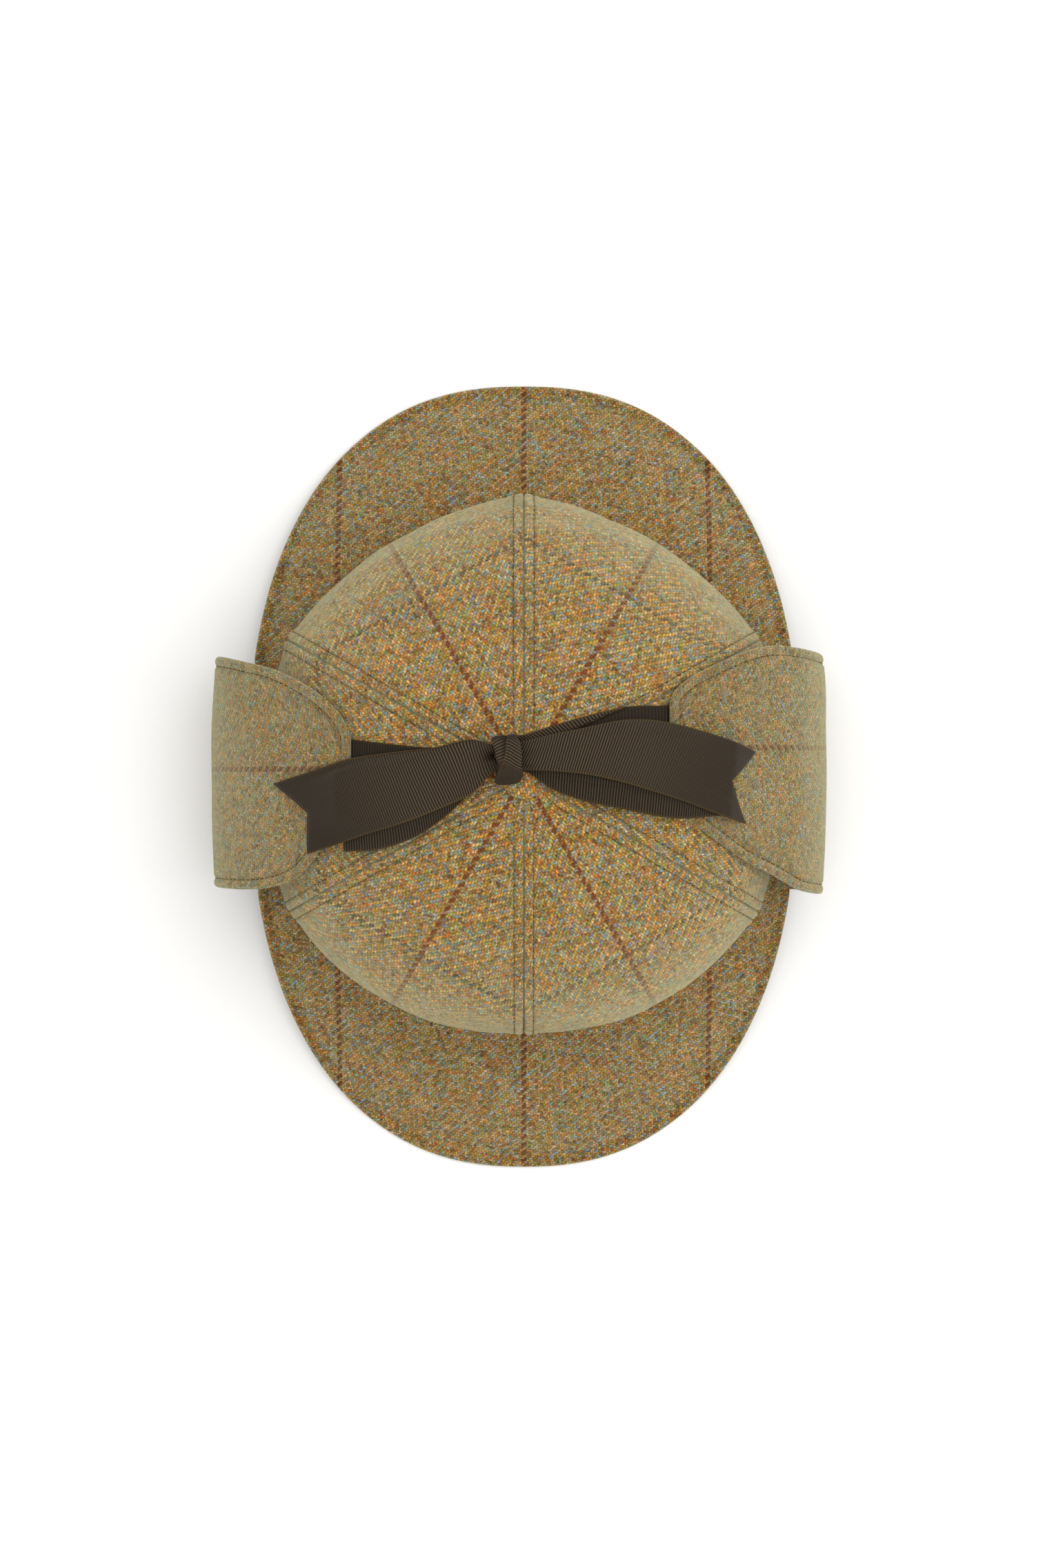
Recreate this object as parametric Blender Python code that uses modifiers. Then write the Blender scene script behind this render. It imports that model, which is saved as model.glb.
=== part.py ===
"""A deerstalker hat: six crown panels, two peaks, and ear flaps tied up over the crown with a ribbon bow.

Metres, +Z up. The wearer faces -Y and the wearer's left is +X. The origin lies on the resting surface
under the middle of the crown, and the outer edges of both peaks stand on that surface.
"""

import math

import bpy
import numpy as np
from mathutils import Matrix, Vector
from mathutils.bvhtree import BVHTree

# Clearance between pieces that touch, and between a piece of cloth and the cloth it lies on
TOUCH = 0.0003
LAID = 0.0006

# Wall thickness of each kind of cloth
CROWN_WALL = 0.002
PEAK_WALL = 0.003
FLAP_WALL = 0.003
RIBBON_WALL = 0.001

# Crown: its rim is an ellipse, it is widest part of the way up, and a dome closes it above that
RIM_HEIGHT = 0.030
RIM_HALF_WIDTH = 0.090
RIM_HALF_LENGTH = 0.098
WIDEST_HEIGHT = 0.075
CROWN_TOP = 0.1475
DOME_FULLNESS = 2.1
APEX_HOLE = 0.004

# Seams of the crown, going round from the front, with the crown's radius there and half way to the next
SEAMS = (
    # degrees from +X, radius at the seam, radius of the panel's middle
    (-90.0, 0.1005, 0.1034),
    (-30.0, 0.1057, 0.1026),
    (30.0, 0.1068, 0.1052),
    (90.0, 0.1103, 0.1052),
    (150.0, 0.1068, 0.1026),
    (210.0, 0.1057, 0.1034),
)
PANEL_NAMES = (
    "crown_panel_front_left",
    "crown_panel_side_left",
    "crown_panel_back_left",
    "crown_panel_back_right",
    "crown_panel_side_right",
    "crown_panel_front_right",
)
PANEL_SPAN = 60.0
PANEL_COLUMNS = (0.0, 0.02, 0.16, 0.33, 0.5, 0.67, 0.84, 0.98, 1.0)
PANEL_TUCK = 0.008
WALL_CLIMBS = (0.0, 0.08, 0.30, 0.55, 0.80)
DOME_ROWS = 8

# Peaks: the outline is a rounded oval, and the slope is a cone's until the edge meets the surface
PEAK_LENGTH = 0.159
PEAK_SLOPE = 0.62
PEAK_END = 75.0
PEAK_CORNER = 65.0
PEAK_CORNER_WIDTH = 0.22
PEAK_BULGE = 0.0022
PEAK_ROOT_GAP = 0.0006
PEAK_ROOT_STRIP = 0.003
PEAK_EDGE_STRIP = 0.004
PEAK_COLUMNS = 34
PEAKS = (
    # name, direction along Y, half width of the outline, fullness of the outline
    ("front_peak", -1.0, 0.1102, 2.33),
    ("back_peak", 1.0, 0.1114, 2.38),
)

# Ear flaps: each starts under the rim, passes below the ends of the peaks, turns up round them and
# bends in over the crown. Distances are the inner face's
FLAP_SLOPE = 0.56
FLAP_TURN = 0.1088
FLAP_REACHES = (-0.06, 0.02, 0.34, 0.67, 1.0)
FLAP_ROOT_FLAT = 0.001
FLAP_ROOT_HALF = 0.046
FLAP_COLUMNS = 11
FLAP_ROWS_BETWEEN = 2
FLAP_SIDE_BOW = 0.6
FLAP_TOP_BOW = 3.0
FLAP_LEFT = (
    # distance from the middle, height, front edge, back edge
    (0.1122, 0.0195, -0.0462, 0.0472),
    (0.1150, 0.0340, -0.0463, 0.0476),
    (0.1166, 0.0520, -0.0463, 0.0479),
    (0.1162, 0.0680, -0.0462, 0.0482),
    (0.1130, 0.0830, -0.0457, 0.0487),
    (0.1055, 0.0975, -0.0437, 0.0498),
    (0.0955, 0.1090, -0.0380, 0.0503),
    (0.0850, 0.1192, -0.0327, 0.0480),
    (0.0738, 0.1282, -0.0251, 0.0432),
    (0.0632, 0.1345, -0.0170, 0.0378),
    (0.0569, 0.1375, -0.0080, 0.0325),
    (0.0547, 0.1383, 0.0040, 0.0280),
)
FLAP_RIGHT = (
    (0.1130, 0.0195, -0.0440, 0.0462),
    (0.1178, 0.0340, -0.0438, 0.0466),
    (0.1202, 0.0520, -0.0436, 0.0468),
    (0.1198, 0.0680, -0.0436, 0.0471),
    (0.1155, 0.0830, -0.0438, 0.0462),
    (0.1065, 0.0975, -0.0438, 0.0440),
    (0.0962, 0.1090, -0.0425, 0.0412),
    (0.0865, 0.1182, -0.0385, 0.0369),
    (0.0785, 0.1252, -0.0300, 0.0320),
    (0.0718, 0.1298, -0.0190, 0.0262),
    (0.0672, 0.1325, -0.0080, 0.0200),
    (0.0651, 0.1335, 0.0010, 0.0150),
)

# Button and knot at the top of the crown
BUTTON_RADIUS = 0.0086
BUTTON_THICKNESS = 0.003
KNOT_CENTRE = (-0.0055, 0.0062)
KNOT_SIZE = (0.0118, 0.0183, 0.0096)
KNOT_TURN = -5.0
KNOT_ROUNDING = 0.003

# Ribbons, as rows from the knot outward: x and y of the back edge, then x and y of the front edge
LEFT_TIE = (
    (0.0016, 0.0138, 0.0016, 0.0045),
    (0.0111, 0.0198, 0.0120, 0.0050),
    (0.0264, 0.0239, 0.0270, 0.0050),
    (0.0400, 0.0266, 0.0405, 0.0045),
    (0.0540, 0.0268, 0.0538, 0.0050),
)
RIGHT_TIE = (
    (-0.0126, 0.0115, -0.0126, 0.0020),
    (-0.0240, 0.0112, -0.0240, -0.0030),
    (-0.0370, 0.0109, -0.0370, -0.0070),
    (-0.0500, 0.0121, -0.0510, -0.0080),
    (-0.0642, 0.0141, -0.0652, -0.0030),
)
LEFT_LOOP = (
    (0.0016, 0.0110, 0.0016, 0.0012),
    (0.0120, 0.0120, 0.0111, -0.0052),
    (0.0260, 0.0135, 0.0238, -0.0096),
    (0.0430, 0.0137, 0.0400, -0.0130),
    (0.0600, 0.0135, 0.0570, -0.0160),
    (0.0772, 0.0134, 0.0740, -0.0152),
)
RIGHT_LOOP = (
    (-0.0126, 0.0100, -0.0126, 0.0005),
    (-0.0210, 0.0095, -0.0215, -0.0078),
    (-0.0330, 0.0070, -0.0306, -0.0161),
    (-0.0460, 0.0030, -0.0413, -0.0232),
    (-0.0580, 0.0008, -0.0555, -0.0279),
    (-0.0676, -0.0002, -0.0670, -0.0288),
)
LEFT_TAIL = (
    (0.0016, 0.0138, 0.0016, 0.0024),
    (0.0110, 0.0164, 0.0125, 0.0021),
    (0.0240, 0.0190, 0.0235, 0.0013),
    (0.0380, 0.0212, 0.0350, -0.0005),
    (0.0520, 0.0208, 0.0475, -0.0033),
    (0.0680, 0.0170, 0.0605, -0.0083),
    (0.0800, 0.0133, 0.0730, -0.0140),
    (0.0889, 0.0094, 0.0851, -0.0185),
)
RIGHT_TAIL = (
    (-0.0126, 0.0120, -0.0122, 0.0008),
    (-0.0204, 0.0138, -0.0185, -0.0060),
    (-0.0330, 0.0109, -0.0275, -0.0105),
    (-0.0500, 0.0090, -0.0435, -0.0170),
    (-0.0660, 0.0067, -0.0585, -0.0217),
    (-0.0800, 0.0023, -0.0715, -0.0262),
    (-0.0965, -0.0029, -0.0828, -0.0298),
)
RIBBON_POINTS_ACROSS = 5
RIBBON_ROWS_BETWEEN = 3
NOTCH_LEFT = 0.0094
NOTCH_RIGHT = 0.0069

# Heights of the ribbons' undersides at the knot, and how far a loop's two layers stand apart from
# the knot, over its middle, to its fold
TIE_KNOT_HEIGHT = 0.1513
LOOP_KNOT_HEIGHT = 0.1527
TAIL_KNOT_HEIGHT = 0.1565
LOOP_OPENING = (0.0010, 0.0040, 0.0020)
FOLD_STEPS = 3

# Laying a ribbon: how far round a point the cloth below counts, the samples of it on a spiral, and
# the rounds of drawing tight
LAY_REACH = 0.0042
LAY_SAMPLES = 24
LAY_TURN = 2.4
LAY_ROUNDS = 400

# Looks: colour and roughness of each kind of cloth
TWEED_CROWN = ((0.323, 0.221, 0.091), 0.92)
TWEED_PEAK = ((0.266, 0.191, 0.087), 0.92)
TWEED_FLAP = ((0.296, 0.216, 0.106), 0.92)
RIBBON = ((0.054, 0.041, 0.026), 0.78)


def clear_scene():
    """Remove whatever the scene held."""
    for thing in list(bpy.data.objects):
        bpy.data.objects.remove(thing, do_unlink=True)


def new_collection(name):
    """A collection of that name, linked to the scene."""
    collection = bpy.data.collections.new(name)
    bpy.context.scene.collection.children.link(collection)
    return collection


def cloth(name, look):
    """A plain cloth material: its colour and its roughness."""
    colour, roughness = look
    material = bpy.data.materials.new(name)
    material.use_nodes = True
    shader = material.node_tree.nodes["Principled BSDF"]
    shader.inputs["Base Color"].default_value = (*colour, 1.0)
    shader.inputs["Roughness"].default_value = roughness
    shader.inputs["Metallic"].default_value = 0.0
    return material


def dress(piece, name, look):
    """Name the object and its mesh, and give it smooth shading and a material of its own."""
    piece.name = name
    piece.data.name = name
    piece.data.materials.append(cloth(name + " cloth", look))
    piece.data.shade_smooth()
    return piece


def adopt(collection, name, look):
    """Take the primitive that was just added into the collection, as a piece."""
    piece = bpy.context.object
    for holder in list(piece.users_collection):
        holder.objects.unlink(piece)
    collection.objects.link(piece)
    return dress(piece, name, look)


def grid_mesh(name, points):
    """An open sheet of quads through a grid of points, facing along rows x columns."""
    rows, columns = points.shape[:2]
    corner = np.arange(rows * columns).reshape(rows, columns)
    quads = np.stack((corner[:-1, :-1], corner[1:, :-1], corner[1:, 1:], corner[:-1, 1:]), axis=-1)
    mesh = bpy.data.meshes.new(name)
    mesh.from_pydata(points.reshape(-1, 3).tolist(), [], quads.reshape(-1, 4).tolist())
    return mesh


def add_shell(collection, name, points, wall, side, look):
    """One piece of cloth: an open sheet given its wall, on the side that it faces (1) or behind it (-1)."""
    piece = bpy.data.objects.new(name, grid_mesh(name, points))
    collection.objects.link(piece)
    dress(piece, name, look)
    thickness = piece.modifiers.new("Wall", "SOLIDIFY")
    thickness.thickness = wall
    thickness.offset = side
    return piece


def smooth_rows(rows, between):
    """The rows, with between - 1 new ones in each interval, on a Catmull-Rom curve through them."""
    rows = np.asarray(rows, float)
    ends = np.concatenate(([2 * rows[0] - rows[1]], rows, [2 * rows[-1] - rows[-2]]))
    fine = []
    for start in range(len(rows) - 1):
        a, b, c, d = ends[start:start + 4]
        for step in range(between):
            t = step / between
            fine.append(b + 0.5 * t * (c - a + t * (2 * a - 5 * b + 4 * c - d + t * (3 * (b - c) + d - a))))
    fine.append(rows[-1])
    return np.array(fine)


def ellipse_radius(angle, half_width, half_length):
    """Radius of the ellipse at an angle from +X."""
    return 1 / np.hypot(np.cos(angle) / half_width, np.sin(angle) / half_length)


def rim_radius(angle):
    """Outer radius of the crown's rim at an angle from +X."""
    return ellipse_radius(angle, RIM_HALF_WIDTH, RIM_HALF_LENGTH)


def widest_radius(angle):
    """Outer radius of the crown at its widest height: a parabola over each panel, from seam to seam."""
    table = np.array(SEAMS)
    turned = np.mod(np.degrees(angle) - table[0, 0], 360.0) / PANEL_SPAN
    panel = np.minimum(turned.astype(int), len(table) - 1)
    across = turned - panel
    start = table[panel, 1]
    middle = table[panel, 2]
    end = table[(panel + 1) % len(table), 1]
    belly = 4 * across * (1 - across)
    return start + (end - start) * across + (middle - (start + end) / 2) * belly


def crown_height(x, y, lift=0.0):
    """Height of the dome's outer face over a plan point, or of that face moved out by a lift."""
    radius = widest_radius(np.arctan2(y, x)) + lift
    share = np.minimum(np.hypot(x, y) / radius, 1.0)
    rise = (1 - share**DOME_FULLNESS) ** (1 / DOME_FULLNESS)
    return WIDEST_HEIGHT + (CROWN_TOP - WIDEST_HEIGHT + lift) * rise


def panel_points(start_degrees):
    """Outer face of one crown panel: rows from the rim to the apex, columns from seam to seam."""
    share = np.array(PANEL_COLUMNS)
    angle = np.radians(start_degrees + PANEL_SPAN * share)
    seam = (share == 0.0) | (share == 1.0)
    to_panel = np.where(share < 0.5, 1.0, -1.0) * seam
    rim = rim_radius(angle)
    widest = widest_radius(angle)
    rows = []
    for climb in WALL_CLIMBS:
        out = climb * climb * (3 - 2 * climb)
        radius = rim + (widest - rim) * out
        rows.append((radius, RIM_HEIGHT + (WIDEST_HEIGHT - RIM_HEIGHT) * climb + 0.0 * angle))
    last_turn = np.arccos((APEX_HOLE / widest) ** (DOME_FULLNESS / 2))
    for climb in np.linspace(0.0, 1.0, DOME_ROWS + 1):
        turn = last_turn * climb
        radius = widest * np.cos(turn) ** (2 / DOME_FULLNESS)
        dome = CROWN_TOP - WIDEST_HEIGHT
        rows.append((radius, WIDEST_HEIGHT + dome * np.sin(turn) ** (2 / DOME_FULLNESS)))
    grid = []
    for radius, height in rows:
        tucked = radius * (1 - PANEL_TUCK * seam)
        shifted = angle + to_panel * (TOUCH / 2) / radius
        grid.append(np.stack((tucked * np.cos(shifted), tucked * np.sin(shifted), height), axis=-1))
    return np.array(grid)


def add_crown(collection):
    """The six panels, each from the rim to the small hole that the button covers."""
    for (start, _, _), name in zip(SEAMS, PANEL_NAMES):
        add_shell(collection, name, panel_points(start)[:, ::-1], CROWN_WALL, -1, TWEED_CROWN)


def add_button(collection):
    """The cloth-covered button: a low dome with a flat base, over the apex."""
    bpy.ops.mesh.primitive_uv_sphere_add(segments=16, ring_count=8, radius=1.0)
    button = adopt(collection, "crown_button", TWEED_CROWN)
    for vertex in button.data.vertices:
        across = vertex.co.xy * BUTTON_RADIUS
        vertex.co = (across.x, across.y, BUTTON_THICKNESS * max(vertex.co.z, 0.0))
    button.location.z = CROWN_TOP + TOUCH
    return button


def peak_points(toward, half_width, fullness):
    """Upper face of a peak: columns go round the rim, rows go from the rim to the outer edge."""
    along = np.linspace(-1.0, 1.0, PEAK_COLUMNS + 1)
    angle = np.radians(PEAK_END) * (0.6 * along + 0.4 * np.sin(along * np.pi / 2))
    sideways = np.abs(np.sin(angle))
    forward = np.cos(angle)
    inner = ellipse_radius(angle, RIM_HALF_LENGTH, RIM_HALF_WIDTH) + PEAK_ROOT_GAP
    outline = (sideways / half_width) ** fullness + (forward / PEAK_LENGTH) ** fullness
    corner = np.radians(PEAK_CORNER)
    past = np.clip((np.abs(angle) - corner) / (np.radians(PEAK_END) - corner), 0.0, 1.0)
    share = PEAK_CORNER_WIDTH + (1 - PEAK_CORNER_WIDTH) * np.sqrt(1 - past**2)
    width = (outline ** (-1 / fullness) - inner) * share
    root = np.minimum(PEAK_ROOT_STRIP, 0.2 * width)
    edge = np.minimum(PEAK_EDGE_STRIP, 0.3 * width)
    slope_run = width - root - edge
    top = RIM_HEIGHT + PEAK_WALL
    drop = np.minimum(PEAK_SLOPE * slope_run, top - PEAK_WALL)
    stations = [(0.0 * width, 0.0 * width)]
    for run in (0.0, 0.2, 0.4, 0.6, 0.8, 1.0):
        bulge = PEAK_BULGE * 4 * run * (1 - run) * drop / top
        stations.append((root + slope_run * run, bulge - drop * run))
    stations.append((width - edge / 2, -drop))
    stations.append((width, -drop))
    grid = []
    for out, fall in stations:
        radius = inner + out
        grid.append(np.stack((radius * np.sin(angle), toward * radius * forward, top + fall), axis=-1))
    grid = np.array(grid)
    return grid if toward < 0 else grid[:, ::-1]


def flap_points(side, table):
    """Inner face of an ear flap: rows from under the rim to the tip, columns from front to back."""
    table = np.array(table)
    across = np.linspace(0.0, 1.0, FLAP_COLUMNS)
    root_y = FLAP_ROOT_HALF * (2 * across - 1)
    root_x = RIM_HALF_WIDTH * np.sqrt(1 - (root_y / RIM_HALF_LENGTH) ** 2)
    under_rim = RIM_HEIGHT - TOUCH
    control = []
    for reach in FLAP_REACHES:
        x = root_x + (FLAP_TURN - root_x) * reach
        fall = FLAP_SLOPE * np.maximum(x - root_x - FLAP_ROOT_FLAT, 0.0)
        control.append(np.stack((x, root_y, under_rim - fall), axis=-1))
    for x, height, front, back in table:
        y = front + (back - front) * across
        aside = (y - (front + back) / 2) ** 2
        over = np.clip((height - WIDEST_HEIGHT) / (CROWN_TOP - WIDEST_HEIGHT), 0.0, 1.0)
        inward = FLAP_SIDE_BOW * aside * (1 - over)
        down = FLAP_TOP_BOW * aside * over
        control.append(np.stack((x - inward, y, height - down), axis=-1))
    grid = smooth_rows(np.array(control), FLAP_ROWS_BETWEEN)
    x, y, z = grid[..., 0], grid[..., 1], grid[..., 2]
    grid[..., 2] = np.where(z > WIDEST_HEIGHT, np.maximum(z, crown_height(x, y, LAID)), z)
    grid[..., 0] *= side
    return grid[:, ::-1] if side > 0 else grid


def solid_tree(piece):
    """The finished piece, as a tree that rays can be cast on."""
    bpy.context.view_layer.update()
    return BVHTree.FromObject(piece, bpy.context.evaluated_depsgraph_get())


def top_of(x, y, covers):
    """Height of the highest cloth near a plan point: the crown, or a piece that already lies there."""
    highest = -1.0
    for step in range(LAY_SAMPLES):
        reach = LAY_REACH * step / (LAY_SAMPLES - 1)
        px = x + reach * np.cos(step * LAY_TURN)
        py = y + reach * np.sin(step * LAY_TURN)
        highest = max(highest, float(crown_height(px, py)))
        for tree in covers:
            hit = tree.ray_cast(Vector((px, py, 1.0)), Vector((0.0, 0.0, -1.0)))[0]
            if hit:
                highest = max(highest, hit.z)
    return highest


def laid_height(x, y, covers, knot_height):
    """Underside of a ribbon drawn tight from the knot over what it lies on, rows going outward."""
    under = np.vectorize(lambda px, py: top_of(px, py, covers))(x, y) + LAID
    height = under.copy()
    height[0] = knot_height
    for _ in range(LAY_ROUNDS):
        height[1:-1] = np.maximum(under[1:-1], (height[:-2] + height[2:]) / 2)
    return height


def ribbon_plan(table, notch=0.0):
    """Plan points of a ribbon, each column cut short at the free end, most in the middle."""
    rows = np.array(table)
    across = np.linspace(0.0, 1.0, RIBBON_POINTS_ACROSS)[None, :, None]
    grid = smooth_rows(rows[:, None, :2] * (1 - across) + rows[:, None, 2:] * across, RIBBON_ROWS_BETWEEN)
    count = len(grid)
    length = np.linalg.norm(np.diff(grid, axis=0), axis=-1).sum(axis=0)
    cut = notch * (1 - np.abs(np.linspace(-1.0, 1.0, RIBBON_POINTS_ACROSS)))
    place = np.arange(count)[:, None] * (1 - cut / length)
    below = np.minimum(place.astype(int), count - 2)
    share = (place - below)[..., None]
    column = np.arange(RIBBON_POINTS_ACROSS)
    return grid[below, column] * (1 - share) + grid[below + 1, column] * share


def facing_up(points, up):
    """The grid with its columns in the order that makes it face up, or down."""
    outward = points[1, 0, 0] - points[0, 0, 0]
    return points if (outward < 0) == up else points[:, ::-1]


def add_strip(collection, name, table, covers, knot_height, notch=0.0):
    """A tie or a tail: one layer of ribbon, laid over the pieces below it."""
    plan = ribbon_plan(table, notch)
    height = laid_height(plan[..., 0], plan[..., 1], covers, knot_height)
    points = np.dstack((plan, height))
    return add_shell(collection, name, facing_up(points, True), RIBBON_WALL, 1, RIBBON)


def add_loop(collection, name, table, covers):
    """A loop: the ribbon runs out over the pieces below it, folds, and comes back above itself."""
    plan = ribbon_plan(table)
    under = laid_height(plan[..., 0], plan[..., 1], covers, LOOP_KNOT_HEIGHT)
    lower = np.dstack((plan, under + RIBBON_WALL + TOUCH))
    run = np.linspace(0.0, 1.0, len(plan))
    opening = np.interp(run, (0.0, 0.5, 1.0), LOOP_OPENING)[:, None]
    upper = np.dstack((plan, lower[..., 2] + opening))
    outward = plan[-1] - plan[-2]
    outward /= np.linalg.norm(outward, axis=-1, keepdims=True)
    radius = LOOP_OPENING[-1] / 2
    fold = []
    for turn in np.linspace(-np.pi / 2, np.pi / 2, FOLD_STEPS + 2)[1:-1]:
        flat = plan[-1] + outward * radius * np.cos(turn)
        fold.append(np.column_stack((flat, lower[-1, :, 2] + radius * (1 + np.sin(turn)))))
    points = np.concatenate((lower, fold, upper[::-1]))
    return add_shell(collection, name, facing_up(points, False), RIBBON_WALL, 1, RIBBON)


def add_knot(collection):
    """The knot: a rounded block of wrapped ribbon that sits on the button."""
    base = CROWN_TOP + TOUCH + BUTTON_THICKNESS + TOUCH
    bpy.ops.mesh.primitive_cube_add(size=1.0)
    knot = adopt(collection, "bow_knot", RIBBON)
    knot.data.transform(Matrix.Diagonal((*KNOT_SIZE, 1.0)))
    knot.location = (*KNOT_CENTRE, base + KNOT_SIZE[2] / 2)
    knot.rotation_euler = (0.0, 0.0, math.radians(KNOT_TURN))
    rounding = knot.modifiers.new("Rounding", "BEVEL")
    rounding.width = KNOT_ROUNDING
    rounding.segments = 3


def add_bow(collection, covers):
    """Ties, loops and tails in the order in which they lie on each other, then the knot."""
    for name, table in (("left_tie", LEFT_TIE), ("right_tie", RIGHT_TIE)):
        covers.append(solid_tree(add_strip(collection, name, table, covers, TIE_KNOT_HEIGHT)))
    for name, table in (("left_loop", LEFT_LOOP), ("right_loop", RIGHT_LOOP)):
        covers.append(solid_tree(add_loop(collection, name, table, covers)))
    add_strip(collection, "left_tail", LEFT_TAIL, covers, TAIL_KNOT_HEIGHT, NOTCH_LEFT)
    add_strip(collection, "right_tail", RIGHT_TAIL, covers, TAIL_KNOT_HEIGHT, NOTCH_RIGHT)
    add_knot(collection)


def main():
    """Build the hat from the crown outward."""
    clear_scene()
    hat = new_collection("deerstalker_hat")
    add_crown(hat)
    covers = [solid_tree(add_button(hat))]
    for name, toward, half_width, fullness in PEAKS:
        add_shell(hat, name, peak_points(toward, half_width, fullness), PEAK_WALL, -1, TWEED_PEAK)
    for name, side, table in (("left_ear_flap", 1.0, FLAP_LEFT), ("right_ear_flap", -1.0, FLAP_RIGHT)):
        covers.append(solid_tree(add_shell(hat, name, flap_points(side, table), FLAP_WALL, 1, TWEED_FLAP)))
    add_bow(hat, covers)


main()
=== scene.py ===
# %% [markdown]
# # A deerstalker hat
#
# A deerstalker is cut from one wool tweed. Six wedge-shaped panels make the crown, a stiff peak stands
# out at the front and at the back, and two ear flaps are folded up and tied over the crown with a
# ribbon. This notebook dresses a plain solid model of one, piece by piece. Lengths are in metres, +Z is
# up and the wearer faces -Y, so the wearer's left is +X.

from functools import partial

import bpy
import numpy as np
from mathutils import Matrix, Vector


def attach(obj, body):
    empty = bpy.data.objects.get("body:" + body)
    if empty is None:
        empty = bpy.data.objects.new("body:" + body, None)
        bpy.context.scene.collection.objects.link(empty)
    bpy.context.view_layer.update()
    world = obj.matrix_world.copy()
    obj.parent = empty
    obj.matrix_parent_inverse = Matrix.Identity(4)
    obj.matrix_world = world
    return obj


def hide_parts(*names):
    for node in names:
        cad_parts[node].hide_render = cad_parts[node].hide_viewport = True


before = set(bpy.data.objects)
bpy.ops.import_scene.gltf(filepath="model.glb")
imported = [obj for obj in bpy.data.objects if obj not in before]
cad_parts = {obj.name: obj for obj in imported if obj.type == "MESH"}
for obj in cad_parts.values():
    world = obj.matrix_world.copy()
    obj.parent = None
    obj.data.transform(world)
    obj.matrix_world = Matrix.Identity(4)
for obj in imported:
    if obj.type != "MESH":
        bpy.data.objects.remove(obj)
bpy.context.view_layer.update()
MM = 0.001

# %% [markdown]
# ## Camera, floor and light
#
# The hat is looked at from straight above, with its peaks pointing up and down in the picture. A long
# lens from two metres keeps the crown, which is nearer, from swelling over the peaks. The light is one
# wide soft panel over the hat and a pale surround, so the cloth shows its colours and hardly a shadow.

# %% Camera
CAMERA_HEIGHT = 2.0
CAMERA_OVER = (-0.5 * MM, -3.0 * MM)
FLOOR_IN_VIEW = 639.6 * MM

camera_data = bpy.data.cameras.new("overhead_camera")
camera_data.sensor_fit = "VERTICAL"
camera_data.sensor_height = 36.0
camera_data.lens = camera_data.sensor_height * CAMERA_HEIGHT / FLOOR_IN_VIEW
camera = bpy.data.objects.new("overhead_camera", camera_data)
camera.location = (*CAMERA_OVER, CAMERA_HEIGHT)
bpy.context.scene.collection.objects.link(camera)
bpy.context.scene.camera = camera
print("lens", round(camera_data.lens, 1), "mm")


# %% One helper for colours and one for nodes
def linear(hex_colour):
    """An sRGB hex colour as linear red, green, blue and alpha, by the sRGB curve."""
    value = np.array([int(hex_colour[k:k + 2], 16) for k in (1, 3, 5)]) / 255
    low, high = value / 12.92, ((value + 0.055) / 1.055) ** 2.4
    return (*np.where(value <= 0.04045, low, high).tolist(), 1.0)


def add_node(tree, kind, *values, named=None, **settings):
    """Add a node with its settings. Each value goes to the next input that the settings leave in use, or
    to a named one, and may be a number, a colour or another node's output. None leaves an input alone.
    What comes back is the node's one output in use, or where it has more, all its outputs."""
    node = tree.nodes.new("ShaderNode" + kind)
    for setting, value in settings.items():
        setattr(node, setting, value)
    inputs, outputs = ([socket for socket in side if socket.enabled] for side in (node.inputs, node.outputs))
    for socket, value in [*zip(inputs, values), *((node.inputs[key], named[key]) for key in named or ())]:
        if isinstance(value, bpy.types.NodeSocket):
            tree.links.new(value, socket)
        elif value is not None:
            socket.default_value = value
    return outputs[0] if len(outputs) == 1 else node.outputs


def new_material(name):
    """An empty node material, with its tree and the socket that takes the finished surface."""
    material = bpy.data.materials.new(name)
    material.use_nodes = True
    material.node_tree.nodes.clear()
    output = material.node_tree.nodes.new("ShaderNodeOutputMaterial")
    return material, material.node_tree, output.inputs["Surface"]


print("mid grey in linear light:", round(linear("#808080")[0], 3))

# %% Floor of matt white board, and the surround
BOARD_GRAIN = 0.4 * MM
BOARD_HALF = 4.0
BOARD_TOP = -0.2 * MM
SURROUND_STRENGTH = 0.85

board, tree, surface = new_material("matt_white_board")
place = add_node(tree, "TexCoord")["Object"]
grain = add_node(tree, "TexNoise", place, named={"Scale": 1 / BOARD_GRAIN, "Detail": 2.0})[0]
tone = add_node(tree, "Mix", grain, linear("#f4f3f1"), linear("#fbfaf8"), data_type="RGBA")
tree.links.new(add_node(tree, "BsdfPrincipled", tone, None, 0.9), surface)

floor_mesh = bpy.data.meshes.new("floor")
corners = [(x * BOARD_HALF, y * BOARD_HALF, BOARD_TOP) for x, y in ((-1, -1), (1, -1), (1, 1), (-1, 1))]
floor_mesh.from_pydata(corners, [], [(0, 1, 2, 3)])
floor_mesh.materials.append(board)
floor = bpy.data.objects.new("floor", floor_mesh)
bpy.context.scene.collection.objects.link(floor)

world = bpy.data.worlds.new("pale_surround")
world.use_nodes = True
background = world.node_tree.nodes["Background"].inputs
background["Color"].default_value = linear("#ffffff")
background["Strength"].default_value = SURROUND_STRENGTH
bpy.context.scene.world = world
bpy.context.scene.view_settings.view_transform = "Standard"
print("board", 2 * BOARD_HALF, "m wide")

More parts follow.
